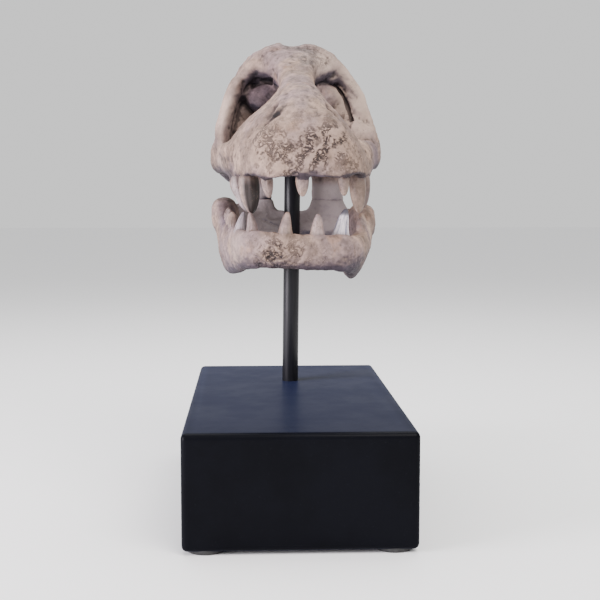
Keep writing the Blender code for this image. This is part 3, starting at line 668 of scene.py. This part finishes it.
# deep narrow gaps: a path of (x, z) places, half width, and from which y to which y
slots = {
    "rightSocketGap": (((25.1, 246.9), (29.0, 242.6), (32.6, 236.5), (35.0, 229.8), (36.8, 224.4)), 0.0013, (0.002, 0.0215)),
    "leftSocketGap": (((-28.4, 238.4), (-26.6, 243.6), (-22.2, 246.6), (-16.1, 247.6), (-11.0, 247.0)), 0.0015, (0.002, 0.0195)),
}
# shallow strokes over the surface: a path in millimetres, width and depth, which is negative for a ridge
strokes = (
    (((-16.5, -68.0, 218.0), (-14.5, -69.4, 219.8), (-12.4, -69.8, 221.5), (-10.8, -69.7, 222.8)), 0.0017, 0.0019),
    (((-21, -66, 215), (-17, -69, 218), (-12.7, -70, 221), (-9, -69, 224), (-7.7, -66, 227), (-6.8, -61, 230.6), (-5.4, -56, 233.7)), 0.0034, 0.0006),
    (((-4.0, -72, 223), (-3.0, -68, 228), (-1.5, -58, 234)), 0.0040, -0.0005),
    (((9.2, -44, 239), (10.5, -55, 234.5), (14.7, -65, 227), (21.4, -63, 220.7), (27, -58, 215)), 0.0022, 0.0007),
    (((11.5, -40, 239), (14.5, -50, 234), (20.0, -55, 227), (26, -50, 221)), 0.0022, -0.0005),
    (((-1.3, -35, 243), (-1.0, -20, 247), (-0.5, -8, 252), (0, 2, 260)), 0.0045, 0.0008),
    (((-7.5, -36, 242.5), (-8.0, -20, 246), (-9.5, -8, 251), (-14, 2, 259)), 0.0030, -0.0005),
    (((8.0, -36, 243), (8.2, -20, 247), (10.5, -8, 252), (16, 2, 260)), 0.0030, -0.0005),
    (((0.5, 4, 262), (0.5, 20, 270), (0.5, 40, 272), (0.5, 60, 270)), 0.0060, 0.0009),
)


def cutSlot(piece, name):
    path, halfWidth, (near, far) = slots[name]
    clearSelection()
    bpy.ops.curve.primitive_nurbs_path_add(location=(0, 0, 0))
    line = bpy.context.object
    line.data.splines.clear()
    line.data.dimensions = "2D"
    spline = line.data.splines.new("BEZIER")
    spline.bezier_points.add(len(path) - 1)
    for point, (x, z) in zip(spline.bezier_points, path):
        point.co = (x / 1000, z / 1000, 0)
        point.handle_left_type = point.handle_right_type = "AUTO"
    spline.resolution_u = 6
    line.data.fill_mode = "NONE"
    line.data.extrude = (far - near) / 2 - halfWidth
    line.data.bevel_depth = halfWidth
    line.data.bevel_resolution = 3
    line.data.use_fill_caps = True
    line.rotation_euler = (math.pi / 2, 0, 0)
    line.location = (0, (near + far) / 2, 0)
    takeUp(line)
    bpy.ops.object.convert(target="MESH")
    cutter = bpy.context.object
    settle(cutter)
    fixNormals(cutter)
    takeUp(piece)
    bpy.ops.object.modifier_add(type="BOOLEAN")
    cut = piece.modifiers[-1]
    cut.operation = "DIFFERENCE"
    cut.solver = "MANIFOLD"
    cut.object = cutter
    bpy.ops.object.modifier_apply(modifier=cut.name)
    bpy.data.objects.remove(cutter)


def nearLine(points, path):
    # distance of each point from a bent line
    best = np.full(len(points), 1e9)
    for start, end in zip(path, path[1:]):
        a, b = np.array(start) / 1000.0, np.array(end) / 1000.0
        along = np.clip(((points - a) @ (b - a)) / ((b - a) @ (b - a)), 0.0, 1.0)
        best = np.minimum(best, np.linalg.norm(points - (a + along[:, None] * (b - a)), axis=1))
    return best


def workStrokes(piece, table):
    points, normals = readPoints(piece), readNormals(piece)
    for path, width, depth in table:
        away = nearLine(points, path)
        points -= normals * (depth * np.exp(-((away / width) ** 2)))[:, None]
    writePoints(piece, points)


def addTexture(name, kind, **settings):
    texture = bpy.data.textures.new(name, kind)
    for key, value in settings.items():
        setattr(texture, key, value)
    return texture


def pressTexture(piece, texture, strength, group=""):
    applyModifier(piece, "DISPLACE", texture=texture, strength=strength, mid_level=0.5, texture_coords="LOCAL", vertex_group=group)


# where the surface is etched: middle in millimetres, reach and strength
etched = {
    "upper": (
        ((-14, -76, 205), 13, 0.8), ((-4, -80, 199), 12, 0.9), ((8, -80, 203), 13, 1.0), ((17, -77, 207), 12, 1.0),
        ((24, -71, 198), 11, 0.8), ((-20, -72, 209), 9, 0.7), ((2, -74, 214), 9, 0.35), ((0, 30, 272), 10, 0.6), ((14, 10, 262), 9, 0.5),
    ),
    "lower": (((-12, -77, 150), 8, 1.0), ((-2, -78, 150), 7, 0.7), ((-16, -76, 145), 7, 0.8), ((12, -77, 149), 7, 0.3)),
}


# sooty speckled places
sooty = (
    ((0, 15, 268.5), 6, 0.7), ((6, 13, 267), 6, 1.0), ((10, 9, 264.5), 6, 1.0), ((8, -1, 259), 7, 1.0), ((9.5, -5, 255.5), 6, 0.9),
    ((12, -3, 252), 5, 0.7), ((20, -62, 216), 8, 0.4), ((-24, -66, 196), 8, 0.4),
)
# painted light: paler patches where the bone is lit brighter, and painted shade kept dark in the nostril groove
paintedLight = (((23, 4, 257), 12, 1.0), ((41, 16, 238), 12, 1.0), ((34, 10, 248), 11, 1.0), ((42, 18, 224), 10, 0.8), ((-38, 13, 230), 12, 0.7), ((-42, 0, 205), 13, 0.55), ((-30, 8, 250), 9, 0.4), ((-38, -60, 150), 12, 0.4), ((45, -8, 160), 10, 0.3))
# painted shade: the nostril groove darkened as if in shadow
paintedHoleShade = (
    ((-8.6, -67.6, 223.6), 1.7, 0.9), ((-10.2, -67.6, 222.6), 2.1, 1.0), ((-11.8, -67.2, 221.2), 2.2, 1.0),
    ((-13.6, -67.2, 219.4), 2.1, 0.9), ((-15.4, -67.0, 218.0), 1.9, 0.6),
)
# places where the shade of the hollows is eased
relieved = (
    ((-39, 12, 228), 7, 0.9), ((-36, 12, 236), 7, 0.9), ((-42, 13, 219), 6, 0.8), ((-31, 14, 246), 6, 0.8), ((-26, 15, 250), 7, 0.7),
    ((-16, 17, 250), 7, 0.5), ((-31, 25, 230), 9, 0.5),
)
# painted shade: patches darkened as if in shadow, some only on faces turned the given way
paintedShadows = {
    "upper": (
        ((-20, 14, 240), 12, 1.0), ((-30, 30, 236), 12, 0.4), ((-24, 50, 234), 18, 0.8), ((-34, 26, 226), 12, 0.3),
        ((-37, 16, 218), 8, 0.5, (0.94, -0.34, 0)), ((-18, 12, 249), 9, 0.25, (0, -0.5, -0.87)),
        ((-10.9, -68.7, 222.0), 2.7, 0.5), ((-12.8, -68.6, 220.6), 2.6, 0.5), ((20, 12, 249), 8, 0.2), ((46, 5, 206), 14, 0.5, (0.9, -0.4, 0)), ((50, 8, 200), 14, 0.55),
    ),
    "lower": (((-37, 14, 172), 10, 0.7), ((-36, -6, 170), 12, 0.85), ((-34, -24, 166), 8, 0.75), ((44, -30, 140), 16, 0.2, (0.9, -0.3, -0.2))),
}


def patchWeights(points, table, normals=None):
    weights = np.zeros(len(points))
    for middle, reach, strength, *facing in table:
        away = np.linalg.norm(points - np.array(middle) / 1000.0, axis=1) / (reach / 1000.0)
        weight = strength * np.clip(1.35 * np.exp(-away**2), 0.0, 1.0)
        if facing:
            weight = weight * ramp(normals @ np.array(facing[0]), -0.15, 0.55)
        weights = np.maximum(weights, weight)
    return weights


def etchSurface(piece, table):
    # worm-like channels where the resin was cast from pitted bone
    points, normals = readPoints(piece), readNormals(piece)
    weights = patchWeights(points, table)
    for i in np.nonzero(weights > 0.08)[0]:
        place = Vector(points[i]) * 300.0
        place += noise.noise_vector(place * 0.45) * 1.1
        channel = abs(noise.noise(place)) / 0.16
        patch = min(1.0, max(0.0, 0.5 + 1.8 * noise.noise(Vector(points[i]) * 95.0)))
        if channel < 1.0:
            points[i] -= normals[i] * 0.00042 * weights[i] * patch * (1.0 - channel**2)
    writePoints(piece, points)


def weather(piece, table):
    workTextures = (
        (addTexture("lumps", "CLOUDS", noise_scale=0.016, noise_depth=2), 0.0013),
        (addTexture("dimples", "CLOUDS", noise_scale=0.0052, noise_depth=2), 0.0009),
        (addTexture("grain", "CLOUDS", noise_scale=0.0021, noise_depth=1), 0.0004),
    )
    for texture, strength in workTextures:
        pressTexture(piece, texture, strength)
    etchSurface(piece, table)


def occupancy(pieces, step):
    # a grid of the bone's solid cells, from straight lines cast through it
    low = np.array((-0.064, -0.094, 0.122))
    count = np.ceil((np.array((0.066, 0.118, 0.280)) - low) / step).astype(int)
    solid = np.zeros(count)
    for piece in pieces:
        tree = BVHTree.FromPolygons([v.co for v in piece.data.vertices], [p.vertices for p in piece.data.polygons])
        for i in range(count[0]):
            for k in range(count[2]):
                origin = Vector((low[0] + (i + 0.5) * step, low[1], low[2] + (k + 0.5) * step))
                crossings = []
                place = origin
                for _ in range(24):
                    hit = tree.ray_cast(place, Vector((0, 1, 0)))
                    if hit[0] is None:
                        break
                    crossings.append(hit[0].y)
                    place = hit[0] + Vector((0, 0.00002, 0))
                for enter, leave in zip(crossings[::2], crossings[1::2]):
                    a, b = (int(round((y - low[1]) / step)) for y in (enter, leave))
                    solid[i, a:b, k] = 1.0
    return low, solid


def blurred(grid, cells):
    reach = int(cells * 3)
    kernel = np.exp(-((np.arange(-reach, reach + 1) / cells) ** 2) / 2)
    kernel /= kernel.sum()
    for axis in range(3):
        grid = np.apply_along_axis(lambda row: np.convolve(row, kernel, mode="same"), axis, grid)
    return grid


def sampleGrid(grid, low, step, points):
    spot = np.clip((points - low) / step - 0.5, 0, np.array(grid.shape) - 1.001)
    base = spot.astype(int)
    part = spot - base
    value = np.zeros(len(points))
    for corner in range(8):
        shift = np.array([corner & 1, corner >> 1 & 1, corner >> 2 & 1])
        weight = np.prod(np.where(shift, part, 1 - part), axis=1)
        value += weight * grid[tuple((base + shift).T)]
    return value


def hollowness(piece):
    # how far each point lies below its neighbours, along its normal
    points, normals = readPoints(piece), readNormals(piece)
    edges = np.empty(len(piece.data.edges) * 2, dtype=np.int64)
    piece.data.edges.foreach_get("vertices", edges)
    a, b = edges[::2], edges[1::2]
    count = np.bincount(a, minlength=len(points)) + np.bincount(b, minlength=len(points))
    smooth = points
    for _ in range(4):
        total = np.stack([np.bincount(a, smooth[b, n], len(points)) + np.bincount(b, smooth[a, n], len(points)) for n in range(3)], 1)
        smooth = total / np.maximum(count, 1)[:, None]
    return np.einsum("ij,ij->i", smooth - points, normals)


# stores painted shade and painted light for the materials, beside soot, pits and etching
def markPaintedShadingAndGrime(pieces, tables, paintedShadowTables):
    step = 0.0014
    low, solid = occupancy(pieces[:2], step)
    near, far = blurred(solid, 1.8), blurred(solid, 5.5)
    for piece, table, paintedShadowTable in zip(pieces, tables, paintedShadowTables):
        points, normals = readPoints(piece), readNormals(piece)
        # painted shade in the hollows: the more of the grid is filled just off the surface, the darker the colour
        close = sampleGrid(near, low, step, points + normals * 0.0028)
        wide = sampleGrid(far, low, step, points + normals * 0.0075)
        dark = 0.42 * ramp(close, 0.14, 0.55) + 0.42 * ramp(wide, 0.24, 0.66)
        dark *= 0.35 + 0.65 * ramp(points[:, 2], 0.190, 0.200)  # the mouth is left paler
        dark *= 1.0 - patchWeights(points, relieved)
        storeValue(piece, "paintedHollowShade", 1.0 - (1.0 - np.clip(dark, 0.0, 1.0)) * (1.0 - patchWeights(points, paintedShadowTable, normals)))
        # painted light: paler patches where the bone is lit brighter
        storeValue(piece, "paintedLight", patchWeights(points, paintedLight))
        # painted light: the mouth's inner faces turned to the front are made paler, as if lit
        mouth = ramp(points[:, 1], 0.030, 0.042) * ramp(-points[:, 2], -0.192, -0.184) * ramp(-normals[:, 1], 0.1, 0.7)
        storeValue(piece, "paintedMouthLight", mouth)
        # painted shade on faces turned down
        storeValue(piece, "under", ramp(-normals[:, 2], -0.10 if piece is pieces[1] else 0.0, 0.62))
        storeValue(piece, "sooty", patchWeights(points, sooty))
        # small hollows are darkened, and the nostril groove gets painted shade
        storeValue(piece, "pitsAndHoleShade", np.maximum(0.7 * ramp(hollowness(piece), 0.00002, 0.00016) * (1.0 - 0.85 * mouth), patchWeights(points, paintedHoleShade)))
        storeValue(piece, "etched", patchWeights(points, table))


def thinBone(piece):
    piece.data.calc_loop_triangles()
    count = len(piece.data.loop_triangles)
    if count > bone["faceLimit"]:
        applyModifier(piece, "DECIMATE", ratio=bone["faceLimit"] / count, use_collapse_triangulate=True)
    piece.data.calc_loop_triangles()
    print(piece.name, "has", len(piece.data.loop_triangles), "triangles")


# finishes
boneTones = {
    "cream": (0.335, 0.230, 0.180),
    "tan": (0.205, 0.140, 0.112),
    "mauve": (0.212, 0.152, 0.157),
    "paintedLight": (0.460, 0.350, 0.295),
    "paintedMouthLight": (0.450, 0.380, 0.388),
    "soot": (0.115, 0.085, 0.078),
    "brown": (0.105, 0.070, 0.058),
    "rust": (0.235, 0.132, 0.080),
    "dirtAndHoleShade": (0.015, 0.010, 0.010),
    "shade": (0.38, 0.375, 0.52),
    "under": (0.22, 0.23, 0.33),
}


def paintBone(tree, place):
    # cream, tan and mauve patches with rust-coloured stains
    patches = stretch(tree, cloud(tree, place, 38.0, 4.0, 0.6), 0.40, 0.62)
    colour = blendColour(tree, patches, boneTones["tan"], boneTones["cream"])
    cool = stretch(tree, cloud(tree, objectPlace(tree, shift=(0.31, 0.12, 0.57)), 27.0, 3.0, 0.6), 0.44, 0.62, 0.0, 0.8)
    colour = blendColour(tree, cool, colour, boneTones["mauve"])
    stains = stretch(tree, cloud(tree, objectPlace(tree, shift=(0.83, 0.44, 0.21)), 70.0, 5.0, 0.62, 0.4), 0.55, 0.72, 0.0, 0.5)
    colour = blendColour(tree, stains, colour, boneTones["rust"])
    mottle = stretch(tree, cloud(tree, place, 210.0, 7.0, 0.72), 0.32, 0.68, 0.58, 1.28)
    grime = stretch(tree, cloud(tree, objectPlace(tree, shift=(0.17, 0.66, 0.39)), 62.0, 6.0, 0.66), 0.50, 0.68, 0.0, 0.50)
    colour = blendColour(tree, grime, colour, boneTones["brown"])
    return blendColour(tree, 1.0, colour, mottle, "MULTIPLY")


def makeBoneMaterial():
    material, tree, shader = newMaterial("agedBoneResin")
    place = objectPlace(tree)
    etched = storedValue(tree, "etched")
    colour = blendColour(tree, compute(tree, "MULTIPLY", etched, 0.6), paintBone(tree, place), boneTones["cream"])
    # painted light on the brow, the bars and the jaw
    colour = blendColour(tree, compute(tree, "MULTIPLY", storedValue(tree, "paintedLight"), 0.85), colour, boneTones["paintedLight"])
    # painted light inside the mouth
    colour = blendColour(tree, compute(tree, "MULTIPLY", storedValue(tree, "paintedMouthLight"), 0.9), colour, boneTones["paintedMouthLight"])
    # dark worm-like lines where the surface is etched
    bent = tree.nodes.new("ShaderNodeVectorMath")
    bent.operation = "ADD"
    swirl = addNode(tree, "ShaderNodeTexNoise", Scale=170.0, Detail=1.0)
    tree.links.new(place, swirl.inputs["Vector"])
    shrink = tree.nodes.new("ShaderNodeVectorMath")
    shrink.operation = "SCALE"
    shrink.inputs["Scale"].default_value = 0.006
    tree.links.new(swirl.outputs["Color"], shrink.inputs[0])
    tree.links.new(place, bent.inputs[0])
    tree.links.new(shrink.outputs[0], bent.inputs[1])
    flatter = addNode(tree, "ShaderNodeMapping")
    flatter.inputs["Scale"].default_value = (0.85, 0.85, 1.15)
    tree.links.new(bent.outputs[0], flatter.inputs["Vector"])
    winding = compute(tree, "ABSOLUTE", compute(tree, "SUBTRACT", cloud(tree, flatter.outputs["Vector"], 520.0, 1.4, 0.5), 0.5))
    lines = stretch(tree, winding, 0.035, 0.150, 1.0, 0.0)
    broken = stretch(tree, cloud(tree, place, 190.0, 2.0, 0.55), 0.45, 0.56)
    lines = compute(tree, "MULTIPLY", compute(tree, "MULTIPLY", lines, broken), etched)
    sootyPlaces = storedValue(tree, "sooty")
    colour = blendColour(tree, compute(tree, "MULTIPLY", sootyPlaces, stretch(tree, cloud(tree, place, 120.0, 4.0, 0.65), 0.40, 0.60, 0.25, 0.85)), colour, boneTones["soot"])
    speckPatch = compute(tree, "MAXIMUM", stretch(tree, cloud(tree, place, 60.0, 3.0, 0.6), 0.50, 0.64), sootyPlaces)
    specks = stretch(tree, cloud(tree, place, 760.0, 4.0, 0.7), 0.57, 0.66)
    specks = compute(tree, "MULTIPLY", specks, compute(tree, "SUBTRACT", speckPatch, storedValue(tree, "paintedMouthLight")))
    smudges = stretch(tree, cloud(tree, place, 300.0, 5.0, 0.7), 0.44, 0.60)
    # near-black for etch lines, specks, smudges and small hollows, and painted shade in the nostril groove
    dirtAndHoleShade = compute(tree, "MAXIMUM", compute(tree, "MULTIPLY", lines, 0.94), compute(tree, "MULTIPLY", specks, 0.65))
    dirtAndHoleShade = compute(tree, "MAXIMUM", dirtAndHoleShade, compute(tree, "MULTIPLY", compute(tree, "MULTIPLY", smudges, sootyPlaces), 0.72))
    dirtAndHoleShade = compute(tree, "MAXIMUM", dirtAndHoleShade, compute(tree, "MULTIPLY", storedValue(tree, "pitsAndHoleShade"), 1.0))
    colour = blendColour(tree, dirtAndHoleShade, colour, boneTones["dirtAndHoleShade"])
    # painted shade in the hollows and painted shadow patches, multiplied in
    colour = blendColour(tree, storedValue(tree, "paintedHollowShade"), colour, boneTones["shade"], "MULTIPLY")
    # painted shade under down-facing faces, multiplied in
    colour = blendColour(tree, storedValue(tree, "under"), colour, boneTones["under"], "MULTIPLY")
    tree.links.new(colour, shader.inputs["Base Color"])
    height = compute(tree, "ADD", compute(tree, "MULTIPLY", cloud(tree, place, 420.0, 4.0, 0.6), 0.6), compute(tree, "MULTIPLY", cloud(tree, place, 1500.0, 4.0, 0.6), 0.25))
    height = compute(tree, "SUBTRACT", height, compute(tree, "MULTIPLY", lines, 1.5))
    addBump(tree, shader, height, 0.85, 0.0007)
    tree.links.new(stretch(tree, cloud(tree, place, 150.0, 4.0, 0.6), 0.3, 0.7, 0.62, 0.82), shader.inputs["Roughness"])
    shader.inputs["Specular IOR Level"].default_value = 0.25
    return material


def makeToothMaterial():
    material, tree, shader = newMaterial("toothResin")
    place = objectPlace(tree)
    colour = paintBone(tree, place)
    along = storedValue(tree, "along")
    # lines that run down each tooth
    combine = tree.nodes.new("ShaderNodeCombineXYZ")
    tree.links.new(compute(tree, "MULTIPLY", storedValue(tree, "around"), 22.0), combine.inputs[0])
    tree.links.new(compute(tree, "MULTIPLY", along, 1.6), combine.inputs[1])
    tree.links.new(compute(tree, "MULTIPLY", storedValue(tree, "number"), 40.0), combine.inputs[2])
    grainLines = addNode(tree, "ShaderNodeTexNoise", Scale=1.0, Detail=4.0, Roughness=0.62)
    tree.links.new(combine.outputs[0], grainLines.inputs["Vector"])
    streak = grainLines.outputs["Fac"]
    colour = blendColour(tree, stretch(tree, streak, 0.52, 0.68, 0.0, 0.75), colour, (0.14, 0.092, 0.066))
    pale = blendColour(tree, stretch(tree, streak, 0.44, 0.62), (0.62, 0.55, 0.60), (0.20, 0.19, 0.26))
    colour = blendColour(tree, storedValue(tree, "pale"), colour, pale)
    colour = blendColour(tree, storedValue(tree, "tip"), colour, (0.060, 0.055, 0.070))
    # painted shade on one side of the tooth
    colour = blendColour(tree, compute(tree, "MULTIPLY", storedValue(tree, "brown"), 0.97), colour, (0.016, 0.010, 0.009))
    neck = stretch(tree, along, 0.0, 0.22, 0.55, 0.0)
    colour = blendColour(tree, neck, colour, (0.13, 0.095, 0.085))
    spots = compute(tree, "MULTIPLY", stretch(tree, cloud(tree, place, 520.0, 3.0, 0.6), 0.56, 0.64), stretch(tree, cloud(tree, place, 110.0, 2.0), 0.48, 0.58))
    colour = blendColour(tree, compute(tree, "MULTIPLY", spots, 0.75), colour, (0.085, 0.048, 0.036))
    # painted shade in the hollows, multiplied in
    colour = blendColour(tree, storedValue(tree, "paintedHollowShade"), colour, boneTones["shade"], "MULTIPLY")
    tree.links.new(colour, shader.inputs["Base Color"])
    height = compute(tree, "ADD", compute(tree, "MULTIPLY", streak, 0.8), compute(tree, "MULTIPLY", cloud(tree, place, 1200.0, 3.0), 0.2))
    addBump(tree, shader, height, 0.5, 0.0005)
    tree.links.new(stretch(tree, cloud(tree, place, 300.0, 3.0), 0.3, 0.7, 0.42, 0.60), shader.inputs["Roughness"])
    shader.inputs["Specular IOR Level"].default_value = 0.4
    return material


def makeLacquer():
    # satin black with a navy sheen, fine orange peel, faint dust and rubbed patches
    material, tree, shader = newMaterial("blackLacquer")
    place = objectPlace(tree)
    dust = stretch(tree, cloud(tree, place, 900.0, 3.0, 0.6), 0.64, 0.74, 0.0, 0.35)
    patches = stretch(tree, cloud(tree, place, 24.0, 4.0, 0.6), 0.35, 0.65)
    colour = blendColour(tree, patches, (0.0020, 0.0021, 0.0034), (0.0027, 0.0029, 0.0048))
    colour = blendColour(tree, dust, colour, (0.012, 0.013, 0.017))
    tree.links.new(colour, shader.inputs["Base Color"])
    tree.links.new(stretch(tree, cloud(tree, place, 40.0, 4.0, 0.6), 0.3, 0.7, 0.42, 0.50), shader.inputs["Roughness"])
    peel = cloud(tree, place, 700.0, 2.0)
    addBump(tree, shader, peel, 0.10, 0.0003)
    shader.inputs["Specular IOR Level"].default_value = 0.02
    shader.inputs["Coat Weight"].default_value = 0.05
    shader.inputs["Coat Roughness"].default_value = 0.22
    shader.inputs["Sheen Weight"].default_value = 0.085
    shader.inputs["Sheen Roughness"].default_value = 0.30
    shader.inputs["Sheen Tint"].default_value = (0.28, 0.38, 1.0, 1)
    return material


def makeRodPaint():
    # brushed-on satin paint over a turned rod
    material, tree, shader = newMaterial("blackRodPaint")
    lengthwise = objectPlace(tree, scale=(1.0, 1.0, 0.06))
    colour = blendColour(tree, stretch(tree, cloud(tree, lengthwise, 700.0, 3.0), 0.35, 0.65), (0.0085, 0.0085, 0.0115), (0.0135, 0.0130, 0.0165))
    tree.links.new(colour, shader.inputs["Base Color"])
    tree.links.new(stretch(tree, cloud(tree, lengthwise, 420.0, 3.0), 0.3, 0.7, 0.26, 0.40), shader.inputs["Roughness"])
    addBump(tree, shader, cloud(tree, lengthwise, 900.0, 3.0), 0.12, 0.0002)
    shader.inputs["Specular IOR Level"].default_value = 0.22
    return material


def makeRubber():
    material, tree, shader = newMaterial("blackRubber")
    place = objectPlace(tree)
    colour = blendColour(tree, stretch(tree, cloud(tree, place, 500.0, 4.0), 0.35, 0.65), (0.013, 0.013, 0.014), (0.026, 0.026, 0.027))
    tree.links.new(colour, shader.inputs["Base Color"])
    tree.links.new(stretch(tree, cloud(tree, place, 300.0, 3.0), 0.3, 0.7, 0.66, 0.84), shader.inputs["Roughness"])
    addBump(tree, shader, cloud(tree, place, 1600.0, 3.0), 0.4, 0.0002)
    return material


boneMaterial = makeBoneMaterial()
toothMaterial = makeToothMaterial()
makeBlock(makeLacquer())
makeRod(makeRodPaint())
makeFeet(makeRubber())
print("stand made")

pegs = {name: makePeg(name) for name in ("fang", "peg", "spike")}
upperTeeth = joinPieces(makeUpperTeeth(pegs), "upperTeeth")
lowerTeeth = joinPieces(makeLowerTeeth(pegs), "lowerTeeth")
for peg in pegs.values():
    bpy.data.objects.remove(peg)
print("teeth made")

upperNodes = ["snout", "cranium", "cheek_left", "cheek_right"]
lowerNodes = ["jaw_left", "jaw_right"]
upperBone = copySolids(upperNodes, "upperSkull")
pullTeeth(upperBone, True)
upperBone = joinPieces([
    upperBone,
    growForm("foreheadSlope", forms["foreheadSlope"]),
    growForm("rightLobe", forms["rightLobe"]),
    growForm("rightBrowInside", forms["rightBrowInside"], upward=True),
    growForm("rightCorner", forms["rightCorner"], upward=True),
    growForm("rightLobeLow", forms["rightLobeLow"]),
    growForm("rightShelf", forms["rightShelf"]),
    growForm("leftBarInside", forms["leftBarInside"], upward=True),
    growForm("leftWall", forms["leftWall"], upward=True),
    growForm("leftRecess", forms["leftRecess"]),
], "upperSkull")
lowerBone = copySolids(lowerNodes, "lowerJaw")
pullTeeth(lowerBone, False)
fuseBone(upperBone, bone["upperStep"])
writePoints(upperBone, dropLip(flareSnout(readPoints(upperBone))))
fuseBone(lowerBone, bone["lowerStep"])
for name in slots:
    cutSlot(upperBone, name)
applyModifier(upperBone, "SMOOTH", factor=0.5, iterations=2)
workStrokes(upperBone, strokes)
weather(upperBone, etched["upper"])
weather(lowerBone, etched["lower"])
thinBone(upperBone)
thinBone(lowerBone)
markPaintedShadingAndGrime([upperBone, lowerBone, upperTeeth, lowerTeeth], [etched["upper"], etched["lower"], (), ()], [paintedShadows["upper"], paintedShadows["lower"], (), ()])
print("bone weathered")
finishPiece(upperBone, boneMaterial, upperNodes, 180)
finishPiece(lowerBone, boneMaterial, lowerNodes, 180)
for piece in (upperTeeth, lowerTeeth):
    finishPiece(piece, toothMaterial, [], 60)
print("skull made")


# floor, light and camera
studio = {
    "spread": 150,
    "floor": (0.93, 0.93, 0.94),
    "background": (1.0, 1.0, 1.0),
    "backgroundLight": 0.95,
    # place, target, size, power and colour
    "lights": (
        ((0.40, -0.72, 1.00), (0.0, 0.0, 0.18), 0.7, 10.6, (1.0, 0.955, 0.91)),
        ((-0.95, -0.42, 0.28), (0.0, 0.0, 0.18), 0.6, 16.6, (0.99, 0.93, 1.0)),
        ((0.0, 0.35, 1.10), (0.0, 0.0, 0.18), 0.9, 7.6, (1.0, 1.0, 1.0)),
    ),
}
camera = {"place": (-0.02402, -0.64977, 0.17831), "turn": (math.pi / 2 - 0.09238, 0.0, -0.04362), "lens": 66.0}


def makeStudio():
    clearSelection()
    bpy.ops.mesh.primitive_plane_add(size=1, location=(0, 0, 0), scale=(1, 1, 1))
    floor = bpy.context.object
    floor.name = "floor"
    bpy.ops.object.mode_set(mode="EDIT")
    bpy.ops.transform.resize(value=(12, 12, 1))
    bpy.ops.mesh.subdivide(number_cuts=3)
    bpy.ops.object.mode_set(mode="OBJECT")
    material, tree, shader = newMaterial("paleFloor")
    shader.inputs["Base Color"].default_value = (*studio["floor"], 1)
    shader.inputs["Roughness"].default_value = 0.9
    floor.data.materials.append(material)
    world = bpy.data.worlds.new("paleRoom")
    bpy.context.scene.world = world
    world.use_nodes = True
    shade = world.node_tree.nodes["Background"]
    shade.inputs["Color"].default_value = (*studio["background"], 1)
    shade.inputs["Strength"].default_value = studio["backgroundLight"]
    for number, (place, target, size, power, colour) in enumerate(studio["lights"], start=1):
        lamp = bpy.data.lights.new(f"softBox{number}", "AREA")
        lamp.shape = "SQUARE"
        lamp.size = size
        lamp.energy = power
        lamp.color = colour
        lamp.spread = math.radians(studio["spread"])
        lampObject = bpy.data.objects.new(f"softBox{number}", lamp)
        lampObject.location = place
        lampObject.rotation_euler = (Vector(target) - Vector(place)).to_track_quat("-Z", "Y").to_euler()
        bpy.context.scene.collection.objects.link(lampObject)


def makeCamera():
    view = bpy.data.cameras.new("view")
    view.lens = camera["lens"]
    view.sensor_width = 36.0
    view.clip_start = 0.01
    viewObject = bpy.data.objects.new("view", view)
    viewObject.location = camera["place"]
    viewObject.rotation_euler = camera["turn"]
    bpy.context.scene.collection.objects.link(viewObject)
    bpy.context.scene.camera = viewObject


makeStudio()
makeCamera()
print("studio set")
